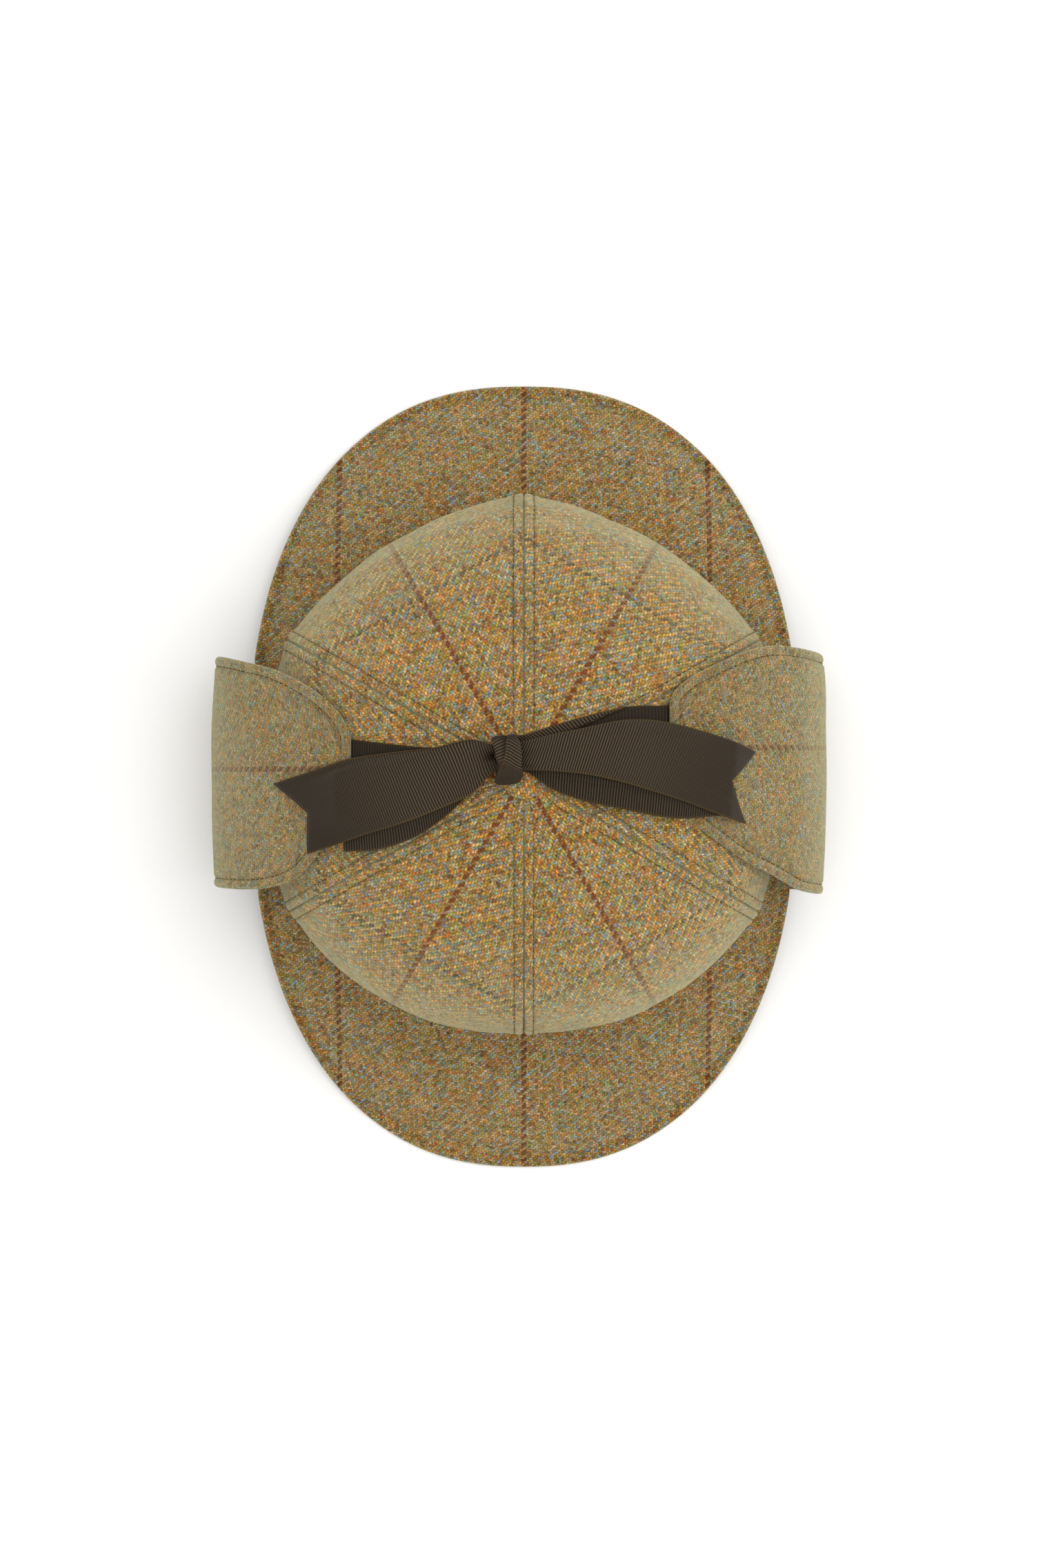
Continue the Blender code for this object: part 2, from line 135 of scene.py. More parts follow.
# %% Light
LIGHTS = (
    # name, place, side, power
    ("overhead_panel", (0.30, 0.15, 2.4), 1.6, 25.4),
    ("side_panel", (1.7, 0.3, 1.4), 0.9, 6.0),
)
for name, place, side, power in LIGHTS:
    light_data = bpy.data.lights.new(name, "AREA")
    light_data.size = side
    light_data.energy = power
    light = bpy.data.objects.new(name, light_data)
    light.location = place
    light.rotation_euler = (-Vector(place)).to_track_quat("-Z", "Y").to_euler()
    bpy.context.scene.collection.objects.link(light)
print(len(LIGHTS), "soft lights")

# %% [markdown]
# ## Surfaces as grids
#
# Each piece of cloth is one curved surface, given as a grid of points that a formula works out. Rows
# run one way over the cloth and columns the other. Cloth could be made as a flat plane and bent with
# modifiers, but a formula keeps every edge exactly where the plain model has it.


# %% Measures of a grid
TINY = 1e-12
UP = np.array((0.0, 0.0, 1.0))


def unit(vectors):
    """Each vector divided by its own length."""
    return vectors / np.maximum(np.linalg.norm(vectors, axis=-1, keepdims=True), TINY)


def facing(points):
    """The way a grid faces at each point: the step to the next row crossed with that to the next column."""
    return unit(np.cross(np.gradient(points, axis=0), np.gradient(points, axis=1)))


def facing_along(points, way):
    """The way a grid faces, turned round as a whole where it would point against the given way."""
    normal = facing(points)
    return normal * np.sign((normal * way).sum())


def walked(points, axis):
    """The distance walked over the grid to each point, along its rows or its columns."""
    step = np.linalg.norm(np.diff(points, axis=axis), axis=-1)
    start = np.zeros_like(np.take(step, [0], axis=axis))
    return np.concatenate((start, np.cumsum(step, axis=axis)), axis=axis)


def border(points):
    """The grid's edge as one closed line, from the first corner down the first column and round."""
    return np.concatenate((points[:-1, 0], points[-1, :-1], points[:0:-1, -1], points[0, :0:-1]))


def edge_distance(points):
    """Each point's distance to the nearest stretch of the grid's edge: the foot of its perpendicular on
    the stretch, held between the stretch's ends."""
    start = border(points)
    along = np.roll(start, -1, axis=0) - start
    from_start = points[..., None, :] - start
    share = np.clip((from_start * along).sum(-1) / np.maximum((along**2).sum(-1), TINY), 0, 1)
    return np.sqrt(((from_start - share[..., None] * along) ** 2).sum(-1).min(-1))


def soft_step(values, low, high):
    """0 up to low and 1 from high on, with the smooth curve 3t^2 - 2t^3 between them."""
    share = np.clip((values - low) / (high - low), 0, 1)
    return share * share * (3 - 2 * share)


def bell(values, middle, width):
    """1 in the middle and less and less beside it, by the bell curve exp(-((x - m) / w)^2)."""
    return np.exp(-(((values - middle) / width) ** 2))


def uneven(u, v, size, seed):
    """A smooth uneven height from about -1 to 1: six sine waves of about that size, in ways set by lot."""
    lot = np.random.default_rng(seed)
    turn, phase, stretch = lot.uniform(0, 2 * np.pi, (2, 6)).tolist() + [lot.uniform(0.7, 1.5, 6)]
    across = np.asarray(u)[..., None] * np.cos(turn) + np.asarray(v)[..., None] * np.sin(turn)
    return np.sin(2 * np.pi * across * stretch / size + phase).sum(-1) / 3


# %% [markdown]
# A cut edge of thick cloth is turned in, so it's round, and a row of stitching near it presses a
# groove. Both need points close together there. The columns therefore step out from every edge by the
# short distances below, and spread evenly over what is left.

# %% Where the columns go
EDGE_STEPS = np.array((0.0, 0.12, 0.3, 0.55, 0.9, 1.4, 2.0, 2.7, 3.3, 3.8, 4.3, 5.0, 6.2)) * MM
MOST_FOR_EDGE = 0.35
STITCH_STEP = 9
STITCH_INSET = EDGE_STEPS[STITCH_STEP]


def stations(length, count):
    """Shares from 0 to 1 along lines of those lengths: the edge steps from each end, then even ones."""
    length = np.asarray(length, float)[..., None]
    near = np.minimum(EDGE_STEPS / length, MOST_FOR_EDGE * EDGE_STEPS / EDGE_STEPS[-1])
    middle = near[..., -1:] + (1 - 2 * near[..., -1:]) * np.linspace(0, 1, count)[1:-1]
    return np.concatenate((near, middle, 1 - near[..., ::-1]), axis=-1)


def on_curve(rows, between):
    """The rows, with between - 1 new ones in each interval, on a Catmull-Rom curve through them."""
    rows = np.asarray(rows, float)
    ends = np.concatenate(([2 * rows[0] - rows[1]], rows, [2 * rows[-1] - rows[-2]]))
    place = np.linspace(0, len(rows) - 1, (len(rows) - 1) * between + 1)
    first = np.minimum(place.astype(int), len(rows) - 2)
    t = (place - first).reshape(-1, *[1] * (rows.ndim - 1))
    a, b, c, d = (ends[first + k] for k in range(4))
    return b + 0.5 * t * (c - a + t * (2 * a - 5 * b + 4 * c - d + t * (3 * (b - c) + d - a)))


print("stitches", round(STITCH_INSET / MM, 1), "mm from an edge")

# %% [markdown]
# A piece of cloth has two faces that meet in a round edge. Half its thickness goes to each side of the
# middle surface, less and less near the edge, like a quarter of a circle. The two faces share their
# edge points, so the piece is closed and has an inside. The Solidify modifier could give the
# thickness too, but it would leave the edge square.


# %% Closed cloth
shells = {}


def cloth_shell(middle, thickness, cloth_map, away, relief=0.0, roundness=1.0, dulled=0.0, smooth=0.0):
    """Front and back of a piece of cloth round its middle surface, joined at the edge. Half thickness
    h = thickness / 2 * sqrt(1 - (1 - d / r)^2), for a distance d to the edge below r, the edge's
    rounding. The relief is added to the front. The map gives each point its place on the flat cloth.
    The next grid is painted shade, the share of light that its colour loses in seams, creases and under
    other cloth, and the last is how flat its ribs are, where a ribbon is also painted darker."""
    grids = [np.broadcast_to(values, middle.shape[:2]) for values in (relief, dulled, smooth)]
    if (facing(middle) * away).sum() < 0:
        middle, cloth_map, *grids = (values[:, ::-1] for values in (middle, cloth_map, *grids))
    relief, dulled, smooth = grids
    normal = facing(middle)
    near = np.clip(edge_distance(middle) / (roundness * thickness / 2), 0, 1)
    swell = np.sqrt(1 - (1 - near) ** 2)
    front = middle + normal * (swell * (thickness / 2 + relief))[..., None]
    back = middle - normal * (swell * thickness / 2)[..., None]
    rows, columns = swell.shape
    first = np.arange(rows * columns).reshape(rows, columns)
    second = first.copy()
    second[1:-1, 1:-1] = rows * columns + np.arange((rows - 2) * (columns - 2)).reshape(rows - 2, -1)
    outer_quads, inner_quads = (
        np.stack((face[:-1, :-1], face[1:, :-1], face[1:, 1:], face[:-1, 1:]), -1).reshape(-1, 4)
        for face in (first, second)
    )
    shell = {"middle": middle, "front": front, "normal": normal}
    shell["quads"] = np.concatenate((outer_quads, inner_quads[:, ::-1]))
    for key, outside, inside in (
        ("points", front, back),
        ("map", cloth_map, cloth_map),
        ("dulled", dulled, dulled),
        ("smooth", smooth, smooth),
    ):
        size = (-1, *outside.shape[2:])
        shell[key] = np.concatenate((outside.reshape(size), inside[1:-1, 1:-1].reshape(size)))
    return shell


def put_piece(name, shell, material):
    """Make a piece from its arrays of points and corners. It stands for the plain solid of its name."""
    mesh = bpy.data.meshes.new(name)
    mesh.from_pydata(shell["points"].tolist(), [], shell["quads"].tolist())
    mesh.uv_layers.new(name="cloth").data.foreach_set("uv", shell["map"][shell["quads"]].ravel())
    for key in ("dulled", "smooth"):
        if key in shell:
            mesh.attributes.new(key, "FLOAT", "POINT").data.foreach_set("value", shell[key])
    mesh.shade_smooth()
    mesh.materials.append(material)
    piece = bpy.data.objects.new(name, mesh)
    bpy.context.scene.collection.objects.link(piece)
    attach(piece, "root")
    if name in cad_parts:
        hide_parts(name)
    print(name, len(shell["quads"]) * 2, "triangles")
    return piece


def put_cut_cloth(name, material, held, rests_on, *measures):
    shells[name] = shell = cloth_shell(*measures)
    piece = put_piece(name, shell, material)


# %% [markdown]
# ## Tweed
#
# The cloth is a 2/2 twill of thick wool: each thread goes over two and under two, one step further
# along in each row, which draws the slanting lines. The yarn is spun from dyed wool of several
# colours, so every float shows its own fleck. Two threads in 75 mm of warp are rust, and two in
# 150 mm of weft are navy: the overcheck. A photograph of tweed could be wrapped over the hat, but
# drawing the weave in nodes lets it follow each piece's own grain.
#
# The nodes count the threads. With warp thread i and weft thread j, the warp lies on top where
# (i - j) mod 4 is 0 or 1. The place along the float and across the thread gives its round shape.

# %% Threads and dyes
THREAD = 0.96 * MM
TWILL = 4.0
STRIPE_THREADS = 78
LINE_THREADS = 156
# Threads are counted by whole numbers, so what lies below 1.5 are numbers 0 and 1, which are two threads.
TWO_THREADS = 1.5
WARP_DYES = ("#d2882a", "#ae621a", "#dca03c", "#8a6420", "#c6a036", "#d4b878", "#6e4a1a", "#a49c30")
WEFT_DYES = ("#9e8e36", "#ca984a", "#98b096", "#d8ae84", "#c27032", "#6c6030", "#8ea2b4", "#88562e")
STRAY_DYES = ("#dc8634", "#64482c", "#a2a43e", "#e6bc94", "#b8662e", "#92bea6", "#829cbe", "#cea23c")
STRAY_SHARE = 0.42
RUST = "#783200"
RUST_SHOWING_THROUGH = "#a85e0c"
RUST_UNDER_WEFT = 0.45
NAVY = "#2c2a30"
FUZZ = "#b6ae78"
CREASE_SHADE = "#24170a"
WARM_TINT, COOL_TINT = (1.15, 0.96, 0.70, 1.0), (0.92, 1.03, 1.09, 1.0)


def dyes_by_lot(tree, lot, colours):
    """One of the colours for each lot from 0 to 1, each with the same chance."""
    ramp = add_node(tree, "ValToRGB", lot)[0]
    stops = ramp.node.color_ramp
    stops.interpolation = "CONSTANT"
    for k in range(2, len(colours)):
        stops.elements.new(k / len(colours))
    for k, colour in enumerate(colours):
        stops.elements[k].position = k / len(colours)
        stops.elements[k].color = linear(colour)
    return ramp


print(len(WARP_DYES + WEFT_DYES + STRAY_DYES), "dyes")

# %% The weave
# How far the threads wander, in threads: a slow wave, and a quick one of a little more weight.
WANDER, QUICK_WEIGHT = 1.15, 1.1
SLOW_WAVE, QUICK_WAVE = 3.0 * THREAD, 0.6 * THREAD
# Fibres lie along their thread, so their noise has more waves to a thread across it than along it.
FIBRE_ALONG, FIBRE_ACROSS, FIBRE_CONTRAST = 1.3, 3.4, 0.44
PATCH_SIZE, PATCH_CONTRAST = 8 * MM, 0.10
BROKEN_SIZE, MOTTLE_SIZE = 2.2 * MM, 5 * MM
# Loose hairs are 0.2 mm wide here, coarser than wool really is, so that they show. They lie two ways.
HAIR_LENGTH, HAIR_WIDTH, HAIR_LEANS = 1.6 * MM, 0.2 * MM, (0.6, -0.95)


def tweed(name, brightness, warp_light, depth, navy, nap):
    """Wool tweed, woven and lightly milled. The eye sees matt flecks of dyed wool in slanting lines, and a
    pale sheen of fine hairs where the cloth turns away. Warp light is how much brighter the warp's slanting
    rows are than the average, depth how dark the painted shade in the hollows between the threads is, and
    navy how strong the dark lines are. The nap is how much of the weave the hairs cover at most."""
    material, tree, surface = new_material(name)
    node = partial(add_node, tree)
    cloth = node("UVMap", uv_map="cloth")
    slow, quick = (
        node("TexNoise", cloth, named={"Scale": 1 / wave, "Detail": 1.0})["Color"]
        for wave in (SLOW_WAVE, QUICK_WAVE)
    )
    wander = node("VectorMath", quick, (QUICK_WEIGHT,) * 3, slow, operation="MULTIPLY_ADD")
    centring = -(QUICK_WEIGHT + 1) / 2
    wander = node("VectorMath", wander, (centring, centring, 0.0), operation="ADD")
    counted = node("VectorMath", cloth, (1 / THREAD,) * 3, operation="MULTIPLY")
    counted = node("VectorMath", wander, (WANDER, WANDER, 0.0), counted, operation="MULTIPLY_ADD")
    u, v, _ = node("SeparateXYZ", counted)
    i, j = (node("Math", value, operation="FLOOR") for value in (u, v))
    u_in, v_in = (node("Math", value, operation="FRACT") for value in (u, v))
    turn = node("Math", i, j, operation="SUBTRACT")
    turn = node("Math", turn, TWILL, operation="FLOORED_MODULO")
    warp = node("Math", turn, TWO_THREADS, operation="LESS_THAN")

    # Round threads: a sine across the thread, and a sine along the two threads that a float spans.
    warp_along = node("Math", v_in, turn, operation="SUBTRACT")
    warp_along = node("Math", warp_along, 1.0, operation="ADD")
    weft_along = node("Math", u_in, turn, operation="ADD")
    weft_along = node("Math", weft_along, 2.0, operation="SUBTRACT")
    along = node("Mix", warp, weft_along, warp_along)
    across = node("Mix", warp, v_in, u_in)
    waves = []
    for share, half_wave in ((across, np.pi), (along, np.pi / 2)):
        share = node("Math", share, half_wave, operation="MULTIPLY")
        waves.append(node("Math", share, operation="SINE"))
    height = node("Math", *waves, operation="MULTIPLY")
    height = node("Math", height, 0.7, operation="POWER")

    # One dye for each float, and some stray fibres of other dyes in it.
    warp_float = node("Math", j, turn, operation="ADD")
    weft_float = node("Math", i, turn, operation="SUBTRACT")
    warp_mark = node("CombineXYZ", i, warp_float, 0.5)
    weft_mark = node("CombineXYZ", weft_float, j, 7.5)
    mark = node("Mix", warp, weft_mark, warp_mark, data_type="VECTOR")
    lot = node("TexWhiteNoise", mark)[0]
    warp_dye, weft_dye = (dyes_by_lot(tree, lot, dyes) for dyes in (WARP_DYES, WEFT_DYES))
    dye = node("Mix", warp, weft_dye, warp_dye, data_type="RGBA")
    flecks = node("TexVoronoi", cloth, named={"Scale": 1 / THREAD}, voronoi_dimensions="2D")["Color"]
    stray_dye = dyes_by_lot(tree, node("SeparateXYZ", flecks)[0], STRAY_DYES)
    dye = node("Mix", STRAY_SHARE, dye, stray_dye, data_type="RGBA")

    # The overcheck: two rust threads of warp, which also show between the weft that crosses them, and two
    # navy threads of weft where they lie on top.
    rust = node("Mix", warp, linear(RUST_SHOWING_THROUGH), linear(RUST), data_type="RGBA")
    for thread, every, under_weft, under_warp, line_dye in (
        (i, STRIPE_THREADS, RUST_UNDER_WEFT, 1.0, rust),
        (j, LINE_THREADS, navy, 0.0, linear(NAVY)),
    ):
        shown = node("MapRange", warp, 0.0, 1.0, under_weft, under_warp)
        line = thread
        for step, value in (
            ("ADD", 1.0),
            ("FLOORED_MODULO", float(every)),
            ("LESS_THAN", TWO_THREADS),
            ("MULTIPLY", shown),
        ):
            line = node("Math", line, value, operation=step)
        dye = node("Mix", line, dye, line_dye, data_type="RGBA")

    # Shade: painted shade in the hollows between threads, and the tone of the fibres along each thread, of
    # slow patches, and of the warp's lighter yarn.
    by_weft, by_warp = (FIBRE_ALONG, FIBRE_ACROSS, 1.0), (FIBRE_ACROSS, FIBRE_ALONG, 1.0)
    grain = node("Mix", warp, by_weft, by_warp, data_type="VECTOR")
    fibre_place = node("VectorMath", counted, grain, mark, operation="MULTIPLY_ADD")
    fibre = node("TexNoise", fibre_place, named={"Scale": 1.0, "Detail": 3.0, "Roughness": 0.7})[0]
    patches = node("TexNoise", cloth, named={"Scale": 1 / PATCH_SIZE, "Detail": 4.0})[0]
    shade = node("MapRange", height, 0.0, 1.0, (1 - depth) * brightness, (1 + depth / 3) * brightness)
    for value, low, high, least, most in (
        (fibre, 0.3, 0.7, 1 - FIBRE_CONTRAST, 1 + FIBRE_CONTRAST),
        (patches, 0.3, 0.7, 1 - PATCH_CONTRAST, 1 + PATCH_CONTRAST),
        (warp, 0.0, 1.0, 2 - warp_light, warp_light),
    ):
        factor = node("MapRange", value, low, high, least, most)
        shade = node("Math", shade, factor, operation="MULTIPLY")
    mottle = node("TexNoise", cloth, named={"Scale": 1 / MOTTLE_SIZE, "Detail": 3.0})["Color"]
    mottle = node("MapRange", node("SeparateXYZ", mottle)[1], 0.35, 0.65, 0.0, 1.0)
    tint = node("Mix", mottle, WARM_TINT, COOL_TINT, data_type="RGBA")
    dye = node("VectorMath", dye, tint, operation="MULTIPLY")
    colour = node("VectorMath", dye, shade, operation="SCALE")

    # Creases and stitched rows are darker, in broken lines: painted shade in their dips, on cloth that is
    # also pressed flat there.
    broken = node("TexNoise", cloth, named={"Scale": 1 / BROKEN_SIZE, "Detail": 1.0})[0]
    broken = node("MapRange", broken, 0.35, 0.65, 0.5, 1.3)
    dulled = node("Attribute", attribute_name="dulled")["Fac"]
    dulled = node("Math", dulled, broken, operation="MULTIPLY")
    colour = node("Mix", dulled, colour, linear(CREASE_SHADE), data_type="RGBA")

    # Nap: the loose hairs that lie over the weave.
    layers = []
    for lean in HAIR_LEANS:
        combed = {"Rotation": (0, 0, lean), "Scale": (1 / HAIR_LENGTH, 1 / HAIR_WIDTH, 1.0)}
        streaks = node("Mapping", cloth, named=combed)
        streaks = node("TexNoise", streaks, named={"Scale": 1.0, "Detail": 1.0, "Distortion": 0.6})[0]
        layers.append(node("MapRange", streaks, 0.45, 0.7, 0.0, nap))
    hairs = node("Math", *layers, operation="MAXIMUM")
    colour = node("Mix", hairs, colour, linear(FUZZ), data_type="RGBA")

    relief = node("Math", fibre, 0.5, height, operation="MULTIPLY_ADD")
    relief = node("Math", hairs, 0.6, relief, operation="MULTIPLY_ADD")
    bump = node("Bump", named={"Strength": 0.8, "Distance": 0.3 * MM, "Height": relief})
    wool = {"Specular IOR Level": 0.2, "Sheen Weight": 0.72, "Sheen Roughness": 0.45}
    wool["Sheen Tint"] = linear("#dbe6be")
    tree.links.new(node("BsdfPrincipled", colour, None, 0.95, named={"Normal": bump, **wool}), surface)
    return material


# The hat is cut from one tweed, but the peaks and the flaps get darker copies of it: painted shade, which
# sets how bright each piece comes out under this light.
crown_tweed = tweed("wool_tweed_crown", brightness=0.76, warp_light=1.13, depth=0.64, navy=0.68, nap=0.08)
peak_tweed = tweed("wool_tweed_peaks", brightness=0.665, warp_light=0.93, depth=0.70, navy=0.3, nap=0.06)
flap_tweed = tweed("wool_tweed_flaps", brightness=0.565, warp_light=1.0, depth=0.68, navy=0.4, nap=0.15)
print("thread every", THREAD / MM, "mm, rust stripe every", STRIPE_THREADS * THREAD / MM, "mm")

# %% [markdown]
# ## Grosgrain ribbon
#
# The ties are grosgrain, a ribbon with thick ribs across it and a firm woven edge. Close up, the thin
# dark warp runs over round ribs of weft, so the eye sees pale ridges and dark lines one millimetre
# apart, and a slightly golden edge.

# %% Grosgrain and sewing thread
RIB = 1.06 * MM
RIBBON_WIDTH = 28 * MM
SELVEDGE = 0.9 * MM
SELVEDGE_ROUND = 0.3 * MM
PRESSED_TONE = 0.45
RIB_DARK, RIB_PALE, GOLDEN_EDGE = "#090705", "#534636", "#54401f"
SUNKEN_THREAD, RAISED_THREAD = ("#38290f", "#57431d"), ("#584620", "#86703e")


def grosgrain(name, dull, rib_left):
    """Polyester grosgrain, woven. It's dark and rather smooth, with pale ridges and dark lines between
    them, and a slightly golden edge. Where it's smooth, because it has been pressed or shows its other
    side, only a share of the ribs is left, and it's painted darker: painted shade, as also where it's
    creased or lies under other ribbon."""
    material, tree, surface = new_material(name)
    node = partial(add_node, tree)
    cloth = node("UVMap", uv_map="cloth")
    u, v, _ = node("SeparateXYZ", cloth)
    wander = node("TexNoise", cloth, named={"Scale": 1 / (6 * MM), "Detail": 1.0})[0]
    wander = node("Math", wander, 0.5, operation="MULTIPLY")
    rib = node("Math", v, 1 / RIB, wander, operation="MULTIPLY_ADD")
    rib = node("Math", node("Math", rib, np.pi, operation="MULTIPLY"), operation="SINE")
    ridge = node("Math", node("Math", rib, operation="ABSOLUTE"), 2.2, operation="POWER")
    smooth = node("Attribute", attribute_name="smooth")["Fac"]
    lowest = PRESSED_TONE * (1 - rib_left)
    pressed = node("MapRange", ridge, 0.0, 1.0, lowest, lowest + rib_left)
    ridge = node("Mix", smooth, ridge, pressed)
    fine = node("VectorMath", cloth, (1 / (0.25 * MM), 1 / (1.2 * MM), 0.0), operation="MULTIPLY")
    threads = node("TexNoise", fine, named={"Scale": 1.0, "Detail": 3.0})[0]
    from_middle = node("Math", u, operation="ABSOLUTE")
    side = RIBBON_WIDTH / 2
    edge = node("MapRange", from_middle, side - SELVEDGE, side - SELVEDGE_ROUND, 0.0, 0.7)
    colour = node("Mix", ridge, linear(RIB_DARK), linear(RIB_PALE), data_type="RGBA")
    colour = node("Mix", edge, colour, linear(GOLDEN_EDGE), data_type="RGBA")
    tone = node("MapRange", threads, 0.3, 0.7, 0.75, 1.2)
    dulled = node("Attribute", attribute_name="dulled")["Fac"]
    for where, least in ((smooth, dull), (dulled, 0.0)):
        left = node("MapRange", where, 0.0, 1.0, 1.0, least)
        tone = node("Math", tone, left, operation="MULTIPLY")
    colour = node("VectorMath", colour, tone, operation="SCALE")
    relief = node("Math", threads, 0.25, ridge, operation="MULTIPLY_ADD")
    bump = node("Bump", named={"Strength": 0.9, "Distance": 0.3 * MM, "Height": relief})
    polyester = {"Specular IOR Level": 0.22, "Specular Tint": linear("#e6d4c0")}
    polyester |= {"Sheen Weight": 0.05, "Sheen Roughness": 0.4, "Sheen Tint": linear("#9a8468")}
    tree.links.new(node("BsdfPrincipled", colour, None, 0.6, named={"Normal": bump, **polyester}), surface)
    return material


def sewing_thread(name):
    """Spun polyester thread, twisted and matt, darker than the tweed so that it sinks into it."""
    material, tree, surface = new_material(name)
    node = partial(add_node, tree)
    place = node("TexCoord")["Object"]
    twist = node("TexNoise", place, named={"Scale": 1 / (0.4 * MM), "Detail": 3.0})[0]
    raised = node("TexNoise", place, named={"Scale": 1 / (4 * MM), "Detail": 1.0})[0]
    raised = node("MapRange", raised, 0.4, 0.6, 0.0, 1.0)
    dark, pale = (
        node("Mix", twist, linear(low), linear(high), data_type="RGBA")
        for low, high in (SUNKEN_THREAD, RAISED_THREAD)
    )
    colour = node("Mix", raised, dark, pale, data_type="RGBA")
    bump = node("Bump", named={"Strength": 0.5, "Distance": 0.1 * MM, "Height": twist})
    finish = {"Normal": bump, "Specular IOR Level": 0.1}
    tree.links.new(node("BsdfPrincipled", colour, None, 0.9, named=finish), surface)
    return material


ribbon_cloth = grosgrain("brown_grosgrain", dull=0.38, rib_left=0.5)
knotted_ribbon = grosgrain("brown_grosgrain_knotted", dull=0.56, rib_left=0.15)
pressed_shaded_ribbon = grosgrain("brown_grosgrain_pressed", dull=0.60, rib_left=0.22)
thread = sewing_thread("olive_sewing_thread")
print("rib every", RIB / MM, "mm on a ribbon", RIBBON_WIDTH / MM, "mm wide")

# %% [markdown]
# ## The crown
#
# Six panels of the same height meet at the top. Each is a wedge whose sides bow outwards, so that the
# sewn crown is round. Going up, the wall swells from the rim to its widest height, and a dome closes
# it. Going round, the radius follows one parabola over each panel, so the seams lie a little inside.

# %% Shape of the crown
RIM_HEIGHT = 30.0 * MM
RIM_HALF_WIDTH = 90.0 * MM
RIM_HALF_LENGTH = 98.0 * MM
WIDEST_HEIGHT = 75.0 * MM
CROWN_TOP = 147.5 * MM
DOME_FULLNESS = 2.1
APEX_HOLE = 4.0 * MM
CROWN_WALL = 2.0 * MM
PANEL_SPAN = 60.0
SEAMS = np.array((
    # degrees from +X, radius at the seam, radius of the panel's middle
    (-90.0, 100.5, 103.4),
    (-30.0, 105.7, 102.6),
    (30.0, 106.8, 105.2),
    (90.0, 110.3, 105.2),
    (150.0, 106.8, 102.6),
    (210.0, 105.7, 103.4),
)) * (1.0, MM, MM)


def rim_radius(angle):
    """Radius of the rim's ellipse at an angle from +X."""
    return 1 / np.hypot(np.cos(angle) / RIM_HALF_WIDTH, np.sin(angle) / RIM_HALF_LENGTH)


def widest_radius(angle):
    """Radius where the crown is widest: over each panel, a line from seam to seam plus a parabola."""
    turned = np.mod(np.degrees(angle) - SEAMS[0, 0], 360.0) / PANEL_SPAN
    panel = np.minimum(turned.astype(int), len(SEAMS) - 1)
    share = turned - panel
    start, middle, end = SEAMS[panel, 1], SEAMS[panel, 2], SEAMS[(panel + 1) % len(SEAMS), 1]
    return start + (end - start) * share + (middle - (start + end) / 2) * 4 * share * (1 - share)


def crown_surface(angle, climb):
    """Outer face of the crown. Climb goes from 0 at the rim to 1 where it is widest, by the smooth
    curve 3c^2 - 2c^3, and on to 2 at the top, round a superellipse."""
    widest = widest_radius(angle)
    wall = np.clip(climb, 0, 1)
    turn = np.clip(climb - 1, 0, 1) * np.arccos((APEX_HOLE / widest) ** (DOME_FULLNESS / 2))
    radius = rim_radius(angle) + (widest - rim_radius(angle)) * soft_step(wall, 0, 1)
    radius = radius * np.cos(turn) ** (2 / DOME_FULLNESS)
    height = RIM_HEIGHT + (WIDEST_HEIGHT - RIM_HEIGHT) * wall
    height = height + (CROWN_TOP - WIDEST_HEIGHT) * np.sin(turn) ** (2 / DOME_FULLNESS)
    return np.stack((radius * np.cos(angle), radius * np.sin(angle), height), axis=-1)


def crown_height(plan, lift=0.0):
    """Height of the dome over plan points, or of the dome moved outwards by a lift."""
    radius = widest_radius(np.arctan2(plan[..., 1], plan[..., 0])) + lift
    share = np.minimum(np.hypot(plan[..., 0], plan[..., 1]) / radius, 1.0)
    height = (1 - share**DOME_FULLNESS) ** (1 / DOME_FULLNESS)
    return WIDEST_HEIGHT + (CROWN_TOP - WIDEST_HEIGHT + lift) * height


print("crown", round((CROWN_TOP - RIM_HEIGHT) / MM, 1), "mm deep")

# %% [markdown]
# The seam allowances lie under the cloth on both sides of each seam, held down by a row of topstitching.
# So the cloth stands a little proud as far as the stitches, dips under them, and puckers a little.
# On the flat cloth, the panel's middle line follows the rust stripe, and the navy line crosses
# it straight, which on the dome means at an even distance in plan.

# %% Six panels
RIM_CLIMBS = EDGE_STEPS[:8] / (WIDEST_HEIGHT - RIM_HEIGHT)
CLIMBS = np.concatenate((RIM_CLIMBS, np.linspace(0.085, 1.0, 27)[:-1], np.linspace(1.0, 2.0, 72)))
PANEL_MIDDLE_POINTS = 27
BY_PLAN_FROM, BY_PLAN_TO = 80 * MM, 113 * MM
LINE_FROM_TOP = 79.0 * MM
ALLOWANCE_RISE = 0.6 * MM
STITCH_DIP = 0.6 * MM
PUCKER = 0.25 * MM
SLACK = 0.35 * MM
CROWN_CENTRE_HEIGHT = 60 * MM
PRESSED_SHADE = 0.45
PANEL_PLACES = ("front_left", "side_left", "back_left", "back_right", "side_right", "front_right")
PANELS = ["crown_panel_" + place for place in PANEL_PLACES]


def panel_grid(start):
    """Outer face of one panel: rows climb from rim to top, columns go round from seam to seam."""
    middle = crown_surface(np.radians(start + PANEL_SPAN / 2), CLIMBS)
    share = stations(np.hypot(middle[:, 0], middle[:, 1]) * np.radians(PANEL_SPAN), PANEL_MIDDLE_POINTS)
    return crown_surface(np.radians(start + PANEL_SPAN * share), CLIMBS[:, None])


